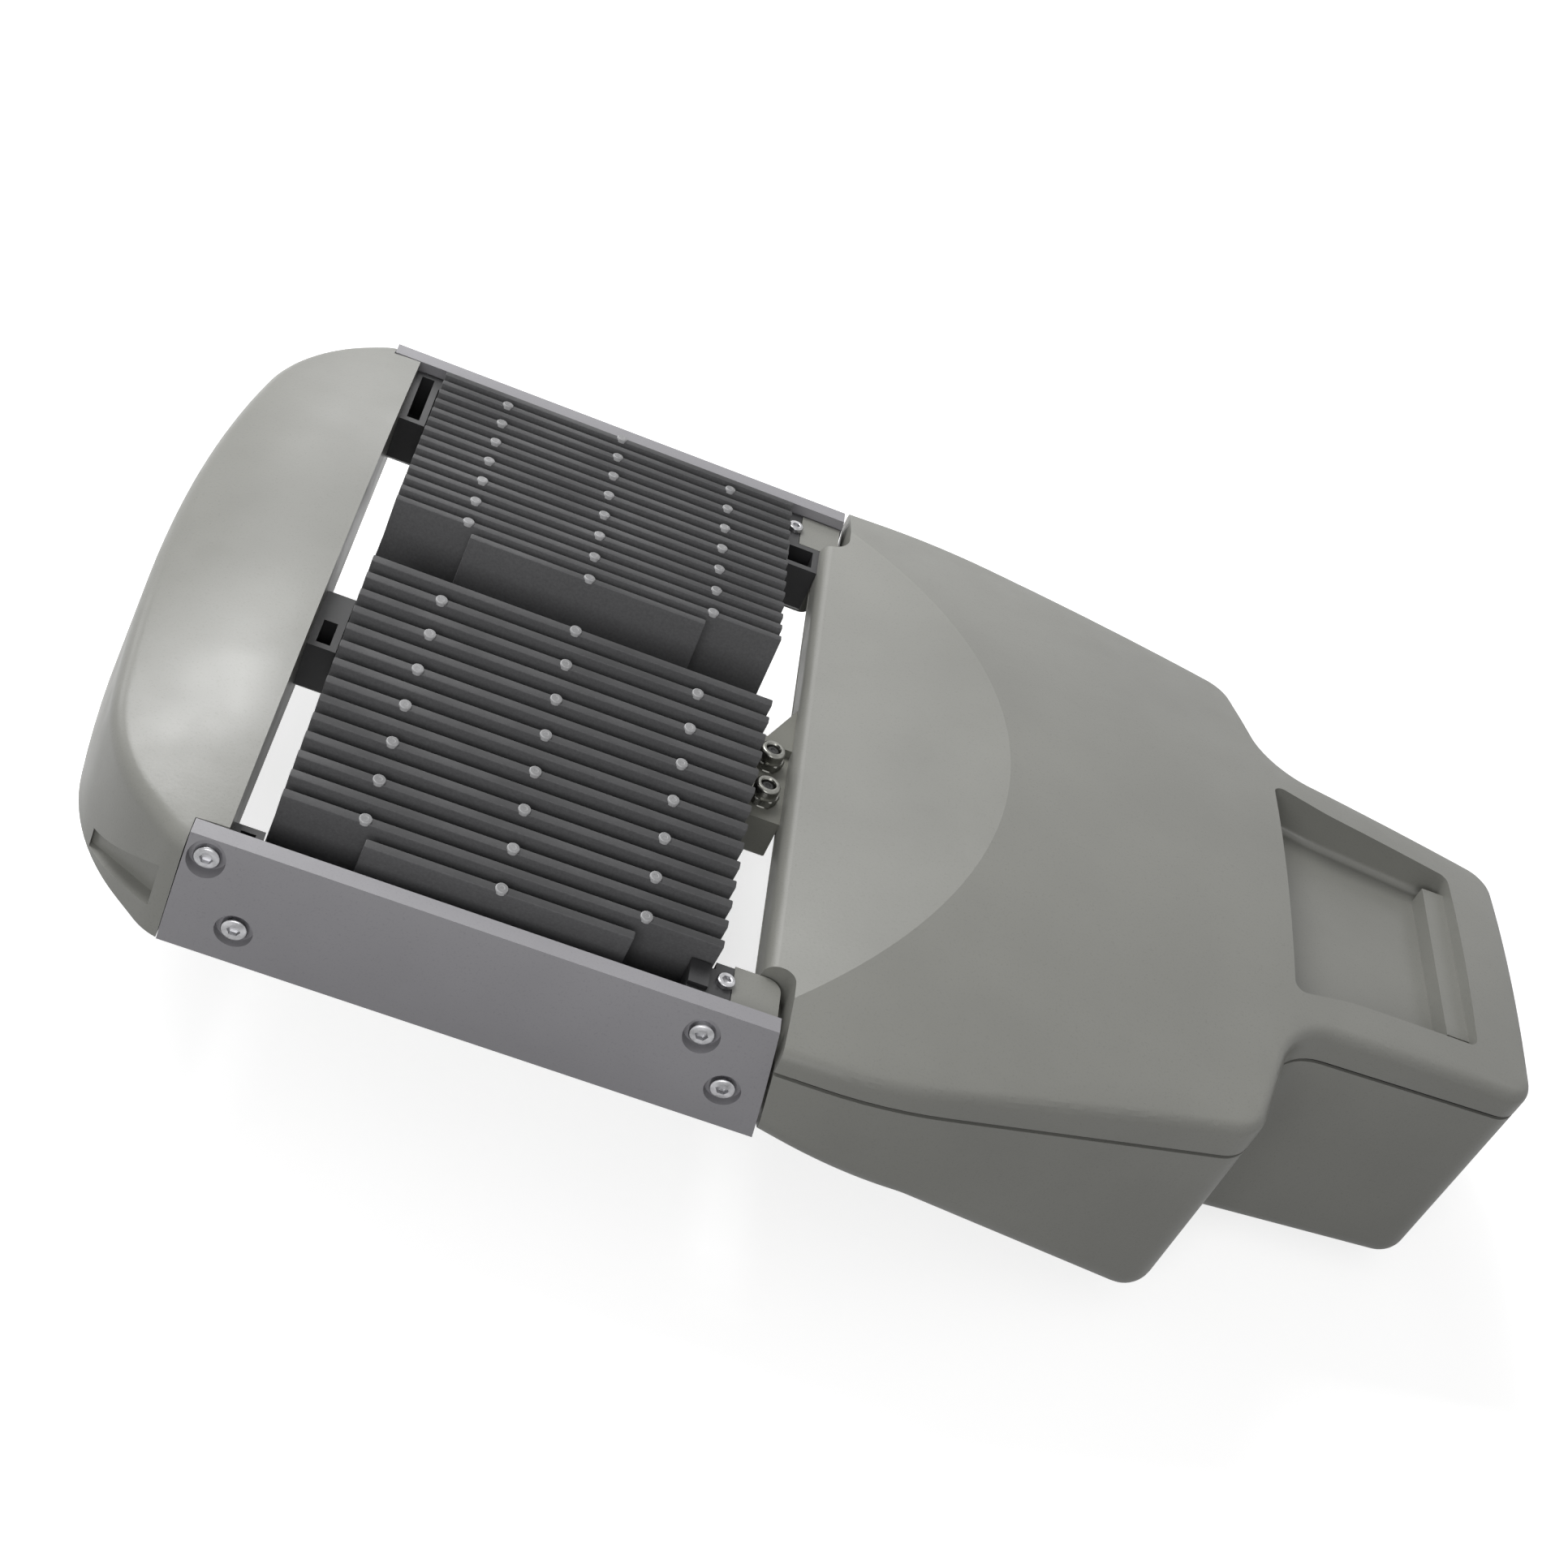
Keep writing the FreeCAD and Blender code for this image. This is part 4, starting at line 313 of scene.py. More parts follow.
def fastener_places(node):
    """Where each fastener of a node stands: the middle of its head's top, its axis out of
    the head, its length, the radii of head and shank, and the head's height. The axis is
    the direction whose spread differs most from the other two. The shank's radius is taken
    at the tip, and the head starts where the radius has gone a share of the way from the
    shank's to the widest."""
    tip, share = 0.1 * MM, 0.3
    made = []
    for points in separate_solids(node):
        middle = (points.min(axis=0) + points.max(axis=0)) / 2
        spread, directions = np.linalg.eigh(np.cov((points - points.mean(axis=0)).T))
        axis = directions[:, 2 if spread[2] - spread[1] > spread[1] - spread[0] else 0]
        along = (points - middle) @ axis
        off = np.linalg.norm(points - middle - along[:, None] * axis, axis=1)
        if off[along > 0].max() < off[along < 0].max():
            axis, along = -axis, -along
        shank = off[along < along.min() + tip].max()
        head = off.max()
        lip = along[off > shank + share * (head - shank)].min()
        made.append({"top": middle + along.max() * axis, "axis": axis,
                     "length": np.ptp(along), "head": head, "shank": shank,
                     "height": along.max() - lip})
    return made


# Finishes

def linear(shown):
    """A screen colour as linear light, with alpha."""
    channels = np.asarray(shown, float)
    light = np.where(channels <= 0.04045, channels / 12.92, ((channels + 0.055) / 1.055) ** 2.4)
    return (*light.tolist(), 1.0)


def shade(shown, factor):
    """A screen colour made lighter or darker, as linear light."""
    return linear(np.clip(np.asarray(shown, float) * factor, 0, 1))


class Finish:
    """A material built from nodes that read Object coordinates."""

    def __init__(self, name):
        """An empty node tree, with the place of a point on its object."""
        self.material = bpy.data.materials.new(name)
        self.material.use_nodes = True
        self.tree = self.material.node_tree
        self.tree.nodes.clear()
        self.place = self.add("TexCoord").outputs["Object"]

    def add(self, kind, *values, named=None, **settings):
        """A node with its settings, its inputs fed in order and then by name."""
        node = self.tree.nodes.new("ShaderNode" + kind)
        for key, value in settings.items():
            setattr(node, key, value)
        for socket, value in list(zip(node.inputs, values)) + [
                (node.inputs[key], value) for key, value in (named or {}).items()]:
            if isinstance(value, bpy.types.NodeSocket):
                self.tree.links.new(value, socket)
            elif value is not None:
                socket.default_value = value
        return node

    def noise(self, scale, detail=3.0, rough=0.5, stretch=None):
        """Noise with that many cells in a metre, pulled long along an axis where stretch says."""
        place = self.place
        if stretch:
            place = self.add("Mapping", place, named={"Scale": stretch}).outputs[0]
        return self.add("TexNoise", named={"Vector": place, "Scale": scale, "Detail": detail,
                                           "Roughness": rough}).outputs[0]

    def ramp(self, value, low, high, start=0.3, end=0.7):
        """The value spread from low to high."""
        return self.add("MapRange", value, start, end, low, high).outputs[0]

    def times(self, first, second):
        """The product of two values."""
        return self.add("Math", first, second, operation="MULTIPLY").outputs[0]

    def facing_up(self, start, end):
        """From 0 to 1 as a face turns to look up."""
        normal = self.add("NewGeometry").outputs["Normal"]
        return self.ramp(self.add("SeparateXYZ", normal).outputs[2], 0, 1, start, end)

    def blend(self, share, first, second):
        """A mix of two colours. Sockets 6, 7 and output 2 are the node's colour ones."""
        return self.add("Mix", named={"Factor": share, 6: first, 7: second},
                        data_type="RGBA").outputs[2]

    def bump(self, height, depth, strength=1.0, normal=None):
        """A bump of that depth in metres."""
        named = {"Height": height, "Distance": depth, "Strength": strength}
        if normal is not None:
            named["Normal"] = normal
        return self.add("Bump", named=named).outputs[0]

    def finish(self, tone, roughness, normal=None, **shader):
        """The shader and its output. Returns the material."""
        named = {"Base Color": tone, "Roughness": roughness}
        if normal is not None:
            named["Normal"] = normal
        named.update({key.replace("_", " "): value for key, value in shader.items()})
        surface = self.add("BsdfPrincipled", named=named)
        self.add("OutputMaterial", surface.outputs[0])
        return self.material


def powder_coat(name, shown, gloss=0.34, peel=1.0):
    """Satin coat: orange peel in two sizes, long soft waves of the casting under it, tone
    clouds, dark specks and slightly uneven gloss. Gloss is the usual roughness, and peel
    scales every bump."""
    nodes = Finish(name)
    clouds = nodes.noise(14, detail=4)
    specks = nodes.noise(1500, detail=1)
    tone = nodes.blend(nodes.ramp(clouds, 0, 1), shade(shown, 0.965), shade(shown, 1.03))
    tone = nodes.blend(nodes.ramp(specks, 0, 0.35, 0.58, 0.75), tone, shade(shown, 0.86))
    rough = nodes.ramp(nodes.noise(40), gloss - 0.04, gloss + 0.07)
    waves = nodes.bump(nodes.noise(22, detail=1, stretch=(0.35, 1, 1)), 0.0012, 0.35 * peel)
    fine = nodes.bump(nodes.noise(900, detail=2), 0.00006, 0.5 * peel, waves)
    coarse = nodes.bump(nodes.noise(160, detail=1), 0.00010, 0.35 * peel, fine)
    return nodes.finish(tone, rough, coarse, Metallic=0.0, Specular_IOR_Level=0.5)


def dark_casting(name, shown):
    """Dark cast metal: sandy grain, painted shade in clouds on the faces that look up, uneven
    gloss.
    """
    nodes = Finish(name)
    grain = nodes.noise(1100, detail=3, rough=0.6)
    clouds = nodes.noise(30, detail=4)
    # Painted shade: faces that look up are darkened, in clouds, to hold back the light they catch.
    tops = nodes.times(nodes.facing_up(0.75, 0.98), nodes.ramp(clouds, 0.55, 0.95))
    tone = nodes.blend(nodes.ramp(grain, 0, 1), shade(shown, 0.93), shade(shown, 1.05))
    tone = nodes.blend(tops, tone, shade(shown, 0.64))
    rough = nodes.ramp(clouds, 0.60, 0.76)
    return nodes.finish(tone, rough, nodes.bump(grain, 0.00008, 0.4), Specular_IOR_Level=0.3)


def plated_steel(name, shown):
    """Bright plated metal with fine turning marks and dulled patches."""
    nodes = Finish(name)
    marks = nodes.noise(2600, detail=2)
    patches = nodes.noise(260, detail=3)
    tone = nodes.blend(nodes.ramp(patches, 0, 1), shade(shown, 0.80), shade(shown, 1.08))
    rough = nodes.ramp(patches, 0.22, 0.40)
    return nodes.finish(tone, rough, nodes.bump(marks, 0.00003, 0.4), Metallic=1.0)


def moulded(name, shown, rough=0.5, grain=1400, depth=0.00005):
    """Moulded plastic or rubber with a matt grain."""
    nodes = Finish(name)
    texture = nodes.noise(grain, detail=2)
    tone = nodes.blend(nodes.ramp(nodes.noise(25), 0, 1), shade(shown, 0.92), shade(shown, 1.06))
    return nodes.finish(tone, nodes.ramp(texture, rough - 0.05, rough + 0.08),
                        nodes.bump(texture, depth, 0.6), Metallic=0.0)


def clear_lens(name):
    """Clear moulded lens plate with a faint flow in its surface."""
    nodes = Finish(name)
    flow = nodes.noise(90, detail=2)
    tone = nodes.blend(nodes.ramp(flow, 0, 1), linear((0.97, 0.985, 0.98)), linear((1, 1, 1)))
    return nodes.finish(tone, nodes.ramp(nodes.noise(300), 0.04, 0.10),
                        nodes.bump(flow, 0.00008, 0.4), Transmission_Weight=1.0, IOR=1.49)


def board_finish(name, shown):
    """White solder mask with faint copper traces under it."""
    nodes = Finish(name)
    traces = nodes.add("TexBrick", named={
        "Vector": nodes.place, "Scale": 48.0, "Mortar Size": 0.012, "Mortar Smooth": 0.3,
        "Color1": shade(shown, 1.0), "Color2": shade(shown, 0.985), "Mortar": shade(shown, 0.86)})
    height = nodes.ramp(traces.outputs["Fac"], 1, 0, 0, 1)
    return nodes.finish(traces.outputs["Color"], nodes.ramp(nodes.noise(500), 0.28, 0.4),
                        nodes.bump(height, 0.00004, 0.6))


FINISH_MAKERS = {
    "cast_grey": lambda tones: powder_coat("coat_grey", tones.coat, 0.34),
    "cap_grey": lambda tones: powder_coat("coat_cap", tones.coat, 0.32, 0.8),
    # Painted light: the rails' lighter, lilac copy of the casting coat.
    "rail_grey": lambda tones: powder_coat("coat_rail", tones.rail, 0.41),
    "sink_dark": lambda tones: dark_casting("casting_dark", tones.sink),
    # Painted highlight: the light tone of the bosses stands in for their glints.
    "boss_painted_glint": lambda tones: dark_casting("casting_bare", tones.boss),
    "bracket_black": lambda tones: powder_coat("coat_black", tones.bracket, 0.42, 0.6),
    "bracket_grey": lambda tones: powder_coat("coat_bridge", tones.bridge, 0.40, 0.6),
    "steel": lambda tones: plated_steel("steel_plated", tones.steel),
    "seal": lambda tones: moulded("rubber_seal", tones.seal, 0.62),
    "lens": lambda tones: clear_lens("lens_clear"),
    "board": lambda tones: board_finish("board_white", tones.board),
    "chip": lambda tones: moulded("chip_phosphor", tones.chip, 0.35, 5200, 0.00002),
    "case_white": lambda tones: moulded("case_white", tones.case, 0.4),
    "case_metal": lambda tones: plated_steel("case_metal", tones.driver),
    "gland_black": lambda tones: plated_steel("gland_plated", tones.gland),
}
FINISHES = {}


def finish(slot):
    """The material of a slot, made when it is first asked for."""
    if slot not in FINISHES:
        FINISHES[slot] = FINISH_MAKERS[slot](bpy.context.scene.light_head_finishes)
    return FINISHES[slot]


# Castings and rails

class LIGHT_HEAD_OT_front_cap(bpy.types.Operator):
    """Coat the front cap"""
    bl_idname = "light_head.front_cap"
    bl_label = "Front Cap"

    def execute(self, context):
        dressed("front_cap", "cast_grey", material=finish("cap_grey"))
        return {"FINISHED"}


class LIGHT_HEAD_OT_side_rails(bpy.types.Operator):
    """Coat the side rails"""
    bl_idname = "light_head.side_rails"
    bl_label = "Side Rails"

    def execute(self, context):
        for side in ("left", "right"):
            dressed("side_rail_" + side, "rail_grey")
        return {"FINISHED"}


class LIGHT_HEAD_OT_housing(bpy.types.Operator):
    """Coat the rear housing"""
    bl_idname = "light_head.housing"
    bl_label = "Rear Housing"

    def execute(self, context):
        dressed("rear_housing", "cast_grey")
        return {"FINISHED"}


class LIGHT_HEAD_OT_cover(bpy.types.Operator):
    """Coat the housing's cover and lay its gasket"""
    bl_idname = "light_head.cover"
    bl_label = "Cover"

    def execute(self, context):
        dressed("housing_cover", "cast_grey", crisp=context.scene.light_head_sizes.crease_angle)
        dressed("cover_gasket", "seal")
        return {"FINISHED"}


class LIGHT_HEAD_OT_brackets(bpy.types.Operator):
    """Coat the brackets and the beam in the bay"""
    bl_idname = "light_head.brackets"
    bl_label = "Brackets"

    def execute(self, context):
        for node in ("front_centre_bracket", "front_corner_bracket_left",
                     "front_corner_bracket_right", "rear_corner_bracket_left",
                     "rear_corner_bracket_right"):
            dressed(node, "bracket_black")
        dressed("rear_centre_bracket", "bracket_black", material=finish("bracket_grey"))
        dressed("centre_beam", "sink_dark")
        return {"FINISHED"}


# Finned modules

def on_module(shape, side, sizes):
    """A flat shape of a module, x along the lamp, y outwards and z up, moved to its tilted
    place: y' = offset + y cos t + z sin t, z' = level - y sin t + z cos t, with y' on the
    given side. The left one is a mirror image, so its faces turn round."""
    points, faces = shape
    turn_cos, turn_sin = math.cos(sizes.module_tilt), math.sin(sizes.module_tilt)
    x, y, z = np.asarray(points).T
    moved = np.stack([x + sizes.module_x,
                      side * (sizes.module_y + y * turn_cos + z * turn_sin),
                      sizes.module_z - y * turn_sin + z * turn_cos], axis=-1)
    return moved, faces if side > 0 else [face[::-1] for face in faces]


def fin(y, half, taper, sizes):
    """One fin: a rounded tip profile carried along X with soft ends. Where the ends slant, a
    point moves inwards by taper * h / H, with h its height and H the tip's above the root."""
    root = sizes.base_thickness / 2
    root_radius, tip_radius, end_radius = 0.05 * MM, 0.55 * MM, 0.4 * MM
    profile = rounded_box_profile(y - sizes.fin_thickness / 2, root, y + sizes.fin_thickness / 2,
                                  sizes.fin_height, root_radius, tip_radius)
    stations, inset = soft_ends(-half - taper, half + taper, end_radius)
    points, faces = carried(profile, stations, inset)
    rise = (points[:, 2] - root) / (sizes.fin_height - root)
    points[:, 0] -= np.sign(points[:, 0]) * taper * rise
    return points, faces


def base_plate(sizes):
    """The base of a module: a soft-edged plate profile carried along X."""
    lower_radius, upper_radius, end_radius = 0.4 * MM, 0.8 * MM, 0.6 * MM
    half = sizes.base_length / 2
    profile = rounded_box_profile(-sizes.base_width / 2, 0, sizes.base_width / 2,
                                  sizes.base_thickness, lower_radius, upper_radius)
    return carried(profile, *soft_ends(-half, half, end_radius))


def boss(x, y, sizes):
    """A round boss on a fin: a short post turned about Z with a softened rim."""
    radius, top = sizes.boss_radius, sizes.fin_height + sizes.boss_height
    sunk, edge = 1.0 * MM, 0.5 * MM
    low = sizes.fin_height - sunk
    turn = np.linspace(0, np.pi / 2, 4)
    rim = [(radius - edge * (1 - math.cos(t)), top - edge * (1 - math.sin(t))) for t in turn]
    dish = [(0.45 * radius, top - 0.02 * MM), (0.35 * radius, top - 0.12 * MM)]
    points, faces = turned([(0, low), (0.9 * radius, low), (radius, low + 0.2 * MM), *rim, *dish,
                            (0, top - 0.14 * MM)], count=18)
    return points + np.array([x, y, 0]), faces


class LIGHT_HEAD_OT_heat_sinks(bpy.types.Operator):
    """Build both finned modules, which are alike and have their short fin on the same side"""
    bl_idname = "light_head.heat_sinks"
    bl_label = "Heat Sinks"

    def execute(self, context):
        sizes = context.scene.light_head_sizes
        count = sizes.long_fins + sizes.short_fins
        first = -sizes.fin_pitch * (count - 1) / 2
        places = first + sizes.fin_pitch * np.arange(count)
        for word, side in (("left", -1), ("right", 1)):
            places = places[::-1] if side > 0 else places
            parts = [base_plate(sizes)]
            for y in places[:sizes.long_fins]:
                parts.append(fin(y, sizes.fin_length / 2, 0, sizes))
            for y in places[sizes.long_fins:]:
                parts.append(fin(y, sizes.short_fin_length / 2, sizes.short_fin_taper, sizes))
            new_piece("heat_sink_body_" + word, on_module(merged(parts), side, sizes),
                      finish("sink_dark"), ["heat_sink_" + word])
            # The outer rows of bosses stand on every second long fin, the middle row on the
            # fins between them.
            tops = [boss(row * sizes.boss_spacing, places[number], sizes)
                    for row, start, end in ((-1, 1, sizes.long_fins), (0, 0, count),
                                            (1, 1, sizes.long_fins))
                    for number in range(start, end, 2)]
            new_piece("heat_sink_bosses_" + word, on_module(merged(tops), side, sizes),
                      finish("boss_painted_glint"))
        return {"FINISHED"}


# Light units

POCKET_RIM = 0.6 * MM


def lens_surface(sizes, upper, count_x=141, count_y=113):
    """One face of the lens plate as a height over x and y. The lower face falls under each
    dome by rise * (1 - (r / R)^2) where r, the distance from the nearest dome's middle, is
    under R. The upper face sinks beneath each chip by half the plate * (P - r) / rim, held
    between 0 and half the plate, where P is the pocket's radius."""
    x = np.linspace(-sizes.lens_length / 2, sizes.lens_length / 2, count_x)
    y = np.linspace(-sizes.lens_width / 2, sizes.lens_width / 2, count_y)
    x, y = np.meshgrid(x, y, indexing="ij")

    def from_middle(value, pitch, count):
        """Distance to the nearest of the evenly spaced middles."""
        middle = (count - 1) / 2
        number = np.clip(np.round(value / pitch + middle), 0, count - 1) - middle
        return value - number * pitch

    off = np.hypot(from_middle(x, sizes.lens_pitch_x, sizes.lens_columns),
                   from_middle(y, sizes.lens_pitch_y, sizes.lens_rows))
    if upper:
        depth = np.clip((sizes.pocket_radius - off) / POCKET_RIM, 0, 1)
        z = -sizes.lens_top - sizes.lens_thickness / 2 * depth
    else:
        dome = np.clip(1 - (off / sizes.lens_radius) ** 2, 0, 1)
        z = -sizes.lens_top - sizes.lens_thickness - sizes.lens_rise * dome
    return np.stack([x, y, z], axis=-1)


def lens_plate(sizes):
    """The domed lens plate: its two faces as grids, joined round their rim."""
    lower, upper = lens_surface(sizes, False), lens_surface(sizes, True)
    rows, columns = lower.shape[:2]
    quads = np.asarray(ring_faces(rows, columns, closed=False))
    index = np.arange(rows * columns).reshape(rows, columns)
    rim = np.concatenate([index[:-1, 0], index[-1, :-1], index[:0:-1, -1], index[0, :0:-1]])
    following = np.roll(rim, -1)
    size = rows * columns
    wall = np.stack([rim, following, following + size, rim + size], axis=-1)
    faces = quads.tolist() + (quads[:, ::-1] + size).tolist() + wall.tolist()
    return np.concatenate([lower.reshape(-1, 3), upper.reshape(-1, 3)]), faces


class LIGHT_HEAD_OT_light_units(bpy.types.Operator):
    """Build the light units beneath the modules"""
    bl_idname = "light_head.light_units"
    bl_label = "Light Units"

    def execute(self, context):
        sizes = context.scene.light_head_sizes
        for word, side in (("left", -1), ("right", 1)):
            dressed("lens_frame_" + word, "bracket_black")
            dressed("lens_gasket_" + word, "seal")
            dressed("led_board_" + word, "board")
            dressed("led_chips_" + word, "chip")
            new_piece("lens_domes_" + word, on_module(lens_plate(sizes), side, sizes),
                      finish("lens"), ["lens_plate_" + word])
        return {"FINISHED"}


# Fasteners and glands

def round_screw(place):
    """A turned screw: chamfered tip, threaded shank, round head with a soft rim and a
    six-sided socket. Heights run down from the top of the head."""
    head, shank, full, lip = place["head"], place["shank"], place["length"], place["height"]
    edge = 0.28 * lip
    turn = np.linspace(0, np.pi / 2, 5)
    rim = [(head - edge * (1 - math.cos(t)), -edge * (1 - math.sin(t))) for t in turn]
    socket = 0.52 * head
    profile = [(0, -full), (0.6 * shank, -full), (shank, -full + 0.4 * shank), (shank, -lip),
               (head - 0.1 * MM, -lip), (head, -lip + 0.1 * MM), *rim,
               (socket + 0.15 * MM, 0), (socket, -0.12 * MM, 1), (socket, -0.62 * lip, 1),
               (0.5 * socket, -0.68 * lip), (0, -0.74 * lip)]
    return placed(turned(profile, count=36), place["top"], place["axis"])


def hexagon_bolt(place):
    """A turned bolt with a six-sided head: the share of six sides runs from 0 at the chamfered
    top to 1 at the flats."""
    head, shank, full, lip = place["head"], place["shank"], place["length"], place["height"]
    profile = [(0, -full), (0.7 * shank, -full), (shank, -full + 0.3 * shank),
               (shank, -lip), (head, -lip, 1), (head, -0.16 * lip, 1), (0.84 * head, 0),
               (0.5 * head, 0), (0.47 * head, -0.05 * lip), (0, -0.05 * lip)]
    return placed(turned(profile, count=48), place["top"], place["axis"])


GLAND_CAP = 0.82


def cable_gland(place):
    """A turned gland: stem, six-sided nut, waisted domed cap and a dished cable opening.
    The cap's radius is a fixed share of the nut's."""
    head, full, lip = place["head"], place["length"], place["height"]
    stem, cap, nut = place["shank"], GLAND_CAP * head, 0.57 * lip
    turn = np.linspace(0, np.pi / 2, 6)
    dome = [(cap - 1.2 * MM * (1 - math.cos(t)), -1.2 * MM * (1 - math.sin(t))) for t in turn]
    profile = [(0, -full), (0.8 * stem, -full), (stem, -full + 0.3 * MM), (stem, -lip),
               (0.93 * head, -lip), (head, -lip + 0.3 * MM, 1), (head, -nut - 0.3 * MM, 1),
               (0.9 * head, -nut), (0.94 * cap, -nut), (0.94 * cap, -nut + 0.5 * MM),
               (cap, -nut + 0.8 * MM), *dome, (0.62 * cap, -0.1 * MM), (0.55 * cap, -0.6 * MM),
               (0.5 * cap, -2.2 * MM), (0, -2.4 * MM)]
    return placed(turned(profile, count=48), place["top"], place["axis"])


def gland_plug(place):
    """The rubber seal in a gland's opening: a low dome with a dimple for the cable."""
    radius = 0.5 * GLAND_CAP * place["head"]
    profile = [(0, -2.35 * MM), (radius, -2.3 * MM), (radius, -1.4 * MM),
               (0.8 * radius, -1.0 * MM), (0.45 * radius, -0.95 * MM),
               (0.3 * radius, -1.3 * MM), (0, -1.5 * MM)]
    return placed(turned(profile), place["top"], place["axis"])


class LIGHT_HEAD_OT_screws(bpy.types.Operator):
    """Turn every screw"""
    bl_idname = "light_head.screws"
    bl_label = "Screws"

    def execute(self, context):
        for node in ("rail_screws", "bracket_screws", "module_screws", "lens_frame_screws",
                     "cover_screws"):
            new_piece("turned_" + node, merged([round_screw(place) for place in
                                                fastener_places(node)]),
                      finish("steel"), [node])
        return {"FINISHED"}


class LIGHT_HEAD_OT_clamp_bolts(bpy.types.Operator):
    """Turn the bolts of the arm clamp"""
    bl_idname = "light_head.clamp_bolts"
    bl_label = "Clamp Bolts"

    def execute(self, context):
        places = fastener_places("arm_clamp_bolts")
        new_piece("turned_clamp_bolts", merged([hexagon_bolt(place) for place in places]),
                  finish("steel"), ["arm_clamp_bolts"])
        return {"FINISHED"}


class LIGHT_HEAD_OT_glands(bpy.types.Operator):
    """Turn the cable glands and their seals"""
    bl_idname = "light_head.glands"
    bl_label = "Cable Glands"

    def execute(self, context):
        places = fastener_places("cable_glands")
        new_piece("turned_glands", merged([cable_gland(place) for place in places]),
                  finish("gland_black"), ["cable_glands"])
        new_piece("gland_plugs", merged([gland_plug(place) for place in places]),
                  finish("seal"))
        return {"FINISHED"}


class LIGHT_HEAD_OT_equipment(bpy.types.Operator):
    """Finish the electrical units inside the housing"""
    bl_idname = "light_head.equipment"
    bl_label = "Electrical Units"

    def execute(self, context):
        dressed("led_driver", "case_metal")
        dressed("surge_protector", "case_white")
        dressed("terminal_block", "case_white")
        return {"FINISHED"}


# Studio

PART_MIDDLE = (-0.25, 0, 0)
LAMPS = (
    # name, its power's setting, place, what it looks at, size
    ("lamp_near", "near", (-0.60, -1.30, 0.75), PART_MIDDLE, (0.9, 0.5)),
    ("lamp_front", "front", (-1.60, 0.60, 0.45), PART_MIDDLE, (0.5, 0.5)),
    ("lamp_window_low", "window", (-0.62, 1.42, 0.62), (-0.24, 0.05, 0.06), (0.62, 0.5)),
    ("lamp_window_high", "window", (-0.66, 0.88, 1.22), (-0.24, -0.05, 0.06), (0.62, 0.5)),
    ("lamp_strip_0", "strip", (-1.10, 0.76, 1.12), (-1.03, -0.08, 0.06), (1.1, 0.11)),
    ("lamp_strip_1", "strip", (-1.10, 0.63, 1.22), (-1.03, -0.08, 0.06), (1.1, 0.11)),
    ("lamp_strip_2", "strip", (-1.10, 0.48, 1.30), (-1.03, -0.08, 0.06), (1.1, 0.11)),
)
CAMERA_PLACE = (-0.41872, -0.66001, 0.55323)
CAMERA_TURN = (0.8528741237, -0.3671278993, 0.0995848503)
CAMERA_SHIFT = (0.0095, -0.00735)
FLOOR_REACH = 4.0
FLOOR_POINTS = 9
FLOOR_GAP = 0.4 * MM


def aim(source, target):
    """Turns an object's -Z axis towards a point."""
    source.rotation_euler = (Vector(target) - source.location).to_track_quat("-Z", "Y").to_euler()


def add_lamp(name, place, target, size, power):
    """A rectangular lamp that looks at a point."""
    data = bpy.data.lights.new(name, "AREA")
    data.shape = "RECTANGLE"
    data.size, data.size_y = size
    data.energy = power
    lamp = bpy.data.objects.new(name, data)
    bpy.context.scene.collection.objects.link(lamp)
    lamp.location = place
    aim(lamp, target)


def seen_directly(tree):
    """1 for rays from the camera, in gloss and through glass, else 0."""
    path = tree.nodes.new("ShaderNodeLightPath")
    value = path.outputs["Is Camera Ray"]
    for name in ("Is Glossy Ray", "Is Transmission Ray"):
        greater = tree.nodes.new("ShaderNodeMath")
        greater.operation = "MAXIMUM"
        tree.links.new(value, greater.inputs[0])
        tree.links.new(path.outputs[name], greater.inputs[1])
        value = greater.outputs[0]
    return value


def light_world(strength):
    """A soft room that shows white to the camera, in gloss and through glass."""
    world = bpy.data.worlds.new("studio_room")
    bpy.context.scene.world = world
    world.use_nodes = True
    tree = world.node_tree
    tree.nodes.clear()
    power = tree.nodes.new("ShaderNodeMapRange")
    tree.links.new(seen_directly(tree), power.inputs["Value"])
    power.inputs["To Min"].default_value = strength
    power.inputs["To Max"].default_value = 1.0
    background = tree.nodes.new("ShaderNodeBackground")
    background.inputs["Color"].default_value = (1, 1, 1, 1)
    tree.links.new(power.outputs[0], background.inputs["Strength"])
    output = tree.nodes.new("ShaderNodeOutputWorld")
    tree.links.new(background.outputs[0], output.inputs[0])


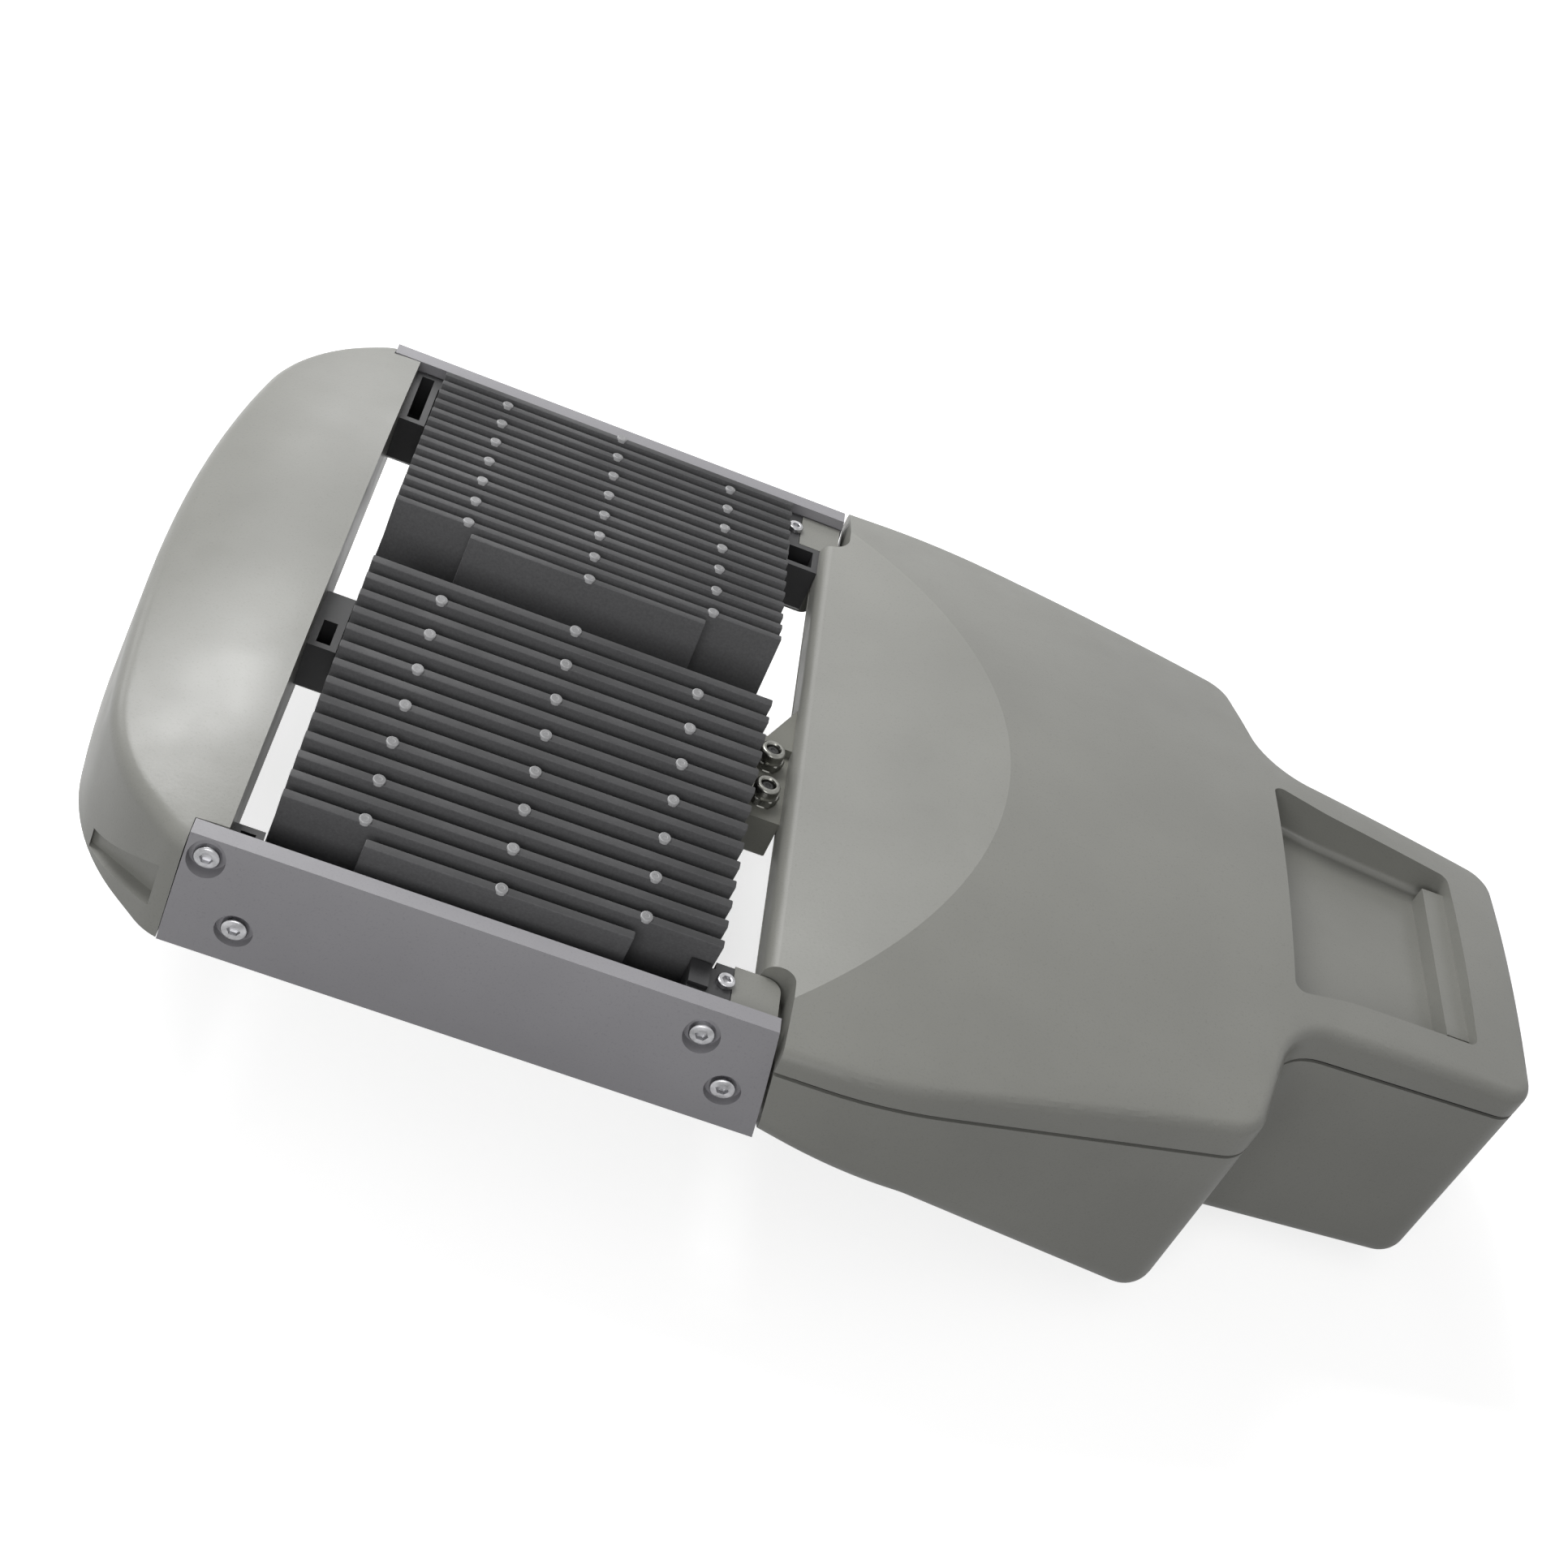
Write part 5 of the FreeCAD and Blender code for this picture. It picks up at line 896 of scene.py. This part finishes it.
def white_floor():
    """A wide floor: an even grid over x and y, a small gap below the part. It is white where
    it is seen, whiter away from the part, with the part's shadow, and throws back little
    light."""
    level = CAD_BOX[0].z - FLOOR_GAP
    side = np.linspace(-FLOOR_REACH, FLOOR_REACH, FLOOR_POINTS)
    x, y = np.meshgrid(side, side, indexing="ij")
    points = np.stack([x, y, np.full_like(x, level)], axis=-1).reshape(-1, 3)
    nodes = Finish("floor_white")
    seen = seen_directly(nodes.tree)
    pale = nodes.blend(nodes.noise(3), linear((0.86, 0.86, 0.86)), linear((0.88, 0.88, 0.88)))
    tone = nodes.blend(seen, linear((0.50, 0.50, 0.50)), pale)
    cover = nodes.add("BsdfDiffuse", tone)
    facing = nodes.add("LightPath").outputs["Is Camera Ray"]
    away = nodes.add("VectorMath", nodes.place, operation="LENGTH").outputs["Value"]
    direct = nodes.times(facing, nodes.ramp(away, 0.45, 0.60, 0.7, 1.7))
    power = nodes.add("Math", nodes.ramp(seen, 0, 0.25, 0, 1), direct)
    glow = nodes.add("Emission", (1, 1, 1, 1), power.outputs[0])
    both = nodes.add("AddShader", cover.outputs[0], glow.outputs[0])
    nodes.add("OutputMaterial", both.outputs[0])
    mesh = bpy.data.meshes.new("floor")
    mesh.from_pydata(points.tolist(), [], ring_faces(FLOOR_POINTS, FLOOR_POINTS, closed=False))
    mesh.materials.append(nodes.material)
    floor = bpy.data.objects.new("floor", mesh)
    bpy.context.scene.collection.objects.link(floor)


class LIGHT_HEAD_OT_stage(bpy.types.Operator):
    """Set up the floor, the lamps and the camera"""
    bl_idname = "light_head.stage"
    bl_label = "Set Up Studio"

    def execute(self, context):
        scene = context.scene
        studio = scene.light_head_studio
        light_world(studio.room)
        white_floor()
        for name, setting, place, target, size in LAMPS:
            add_lamp(name, place, target, size, getattr(studio, setting))
        camera = bpy.data.cameras.new("camera")
        camera.lens = studio.lens
        camera.shift_x, camera.shift_y = CAMERA_SHIFT
        camera.clip_start = 0.01
        holder = bpy.data.objects.new("camera", camera)
        scene.collection.objects.link(holder)
        holder.location = CAMERA_PLACE
        holder.rotation_euler = CAMERA_TURN
        scene.camera = holder
        scene.view_settings.view_transform = "Standard"
        return {"FINISHED"}


# Add-on

class LIGHT_HEAD_PT_panel(bpy.types.Panel):
    """Lists the builders of the light head"""
    bl_label = "Light Head"
    bl_idname = "LIGHT_HEAD_PT_panel"
    bl_space_type = "VIEW_3D"
    bl_region_type = "UI"
    bl_category = "Light Head"

    def draw(self, context):
        for name in GROUPS:
            group = getattr(context.scene, name)
            box = self.layout.box()
            for key in group.__annotations__:
                box.prop(group, key)
        for operator in OPERATORS:
            self.layout.operator(operator.bl_idname)


GROUPS = {
    "light_head_sizes": LightHeadSizes,
    "light_head_finishes": LightHeadFinishes,
    "light_head_studio": LightHeadStudio,
}
OPERATORS = [
    LIGHT_HEAD_OT_front_cap,
    LIGHT_HEAD_OT_side_rails,
    LIGHT_HEAD_OT_heat_sinks,
    LIGHT_HEAD_OT_light_units,
    LIGHT_HEAD_OT_brackets,
    LIGHT_HEAD_OT_glands,
    LIGHT_HEAD_OT_housing,
    LIGHT_HEAD_OT_cover,
    LIGHT_HEAD_OT_equipment,
    LIGHT_HEAD_OT_screws,
    LIGHT_HEAD_OT_clamp_bolts,
    LIGHT_HEAD_OT_stage,
]


def register():
    """Adds the classes and hangs the settings on the scene."""
    for item in [*GROUPS.values(), *OPERATORS, LIGHT_HEAD_PT_panel]:
        bpy.utils.register_class(item)
    for name, group in GROUPS.items():
        setattr(bpy.types.Scene, name, PointerProperty(type=group))


def unregister():
    """Takes the settings and the classes away again."""
    for name in GROUPS:
        delattr(bpy.types.Scene, name)
    for item in reversed([*GROUPS.values(), *OPERATORS, LIGHT_HEAD_PT_panel]):
        bpy.utils.unregister_class(item)


def main():
    """Builds everything in order."""
    register()
    for operator in OPERATORS:
        builder = operator.bl_idname.split(".")[1]
        getattr(bpy.ops.light_head, builder)()


if __name__ == "__main__":
    main()
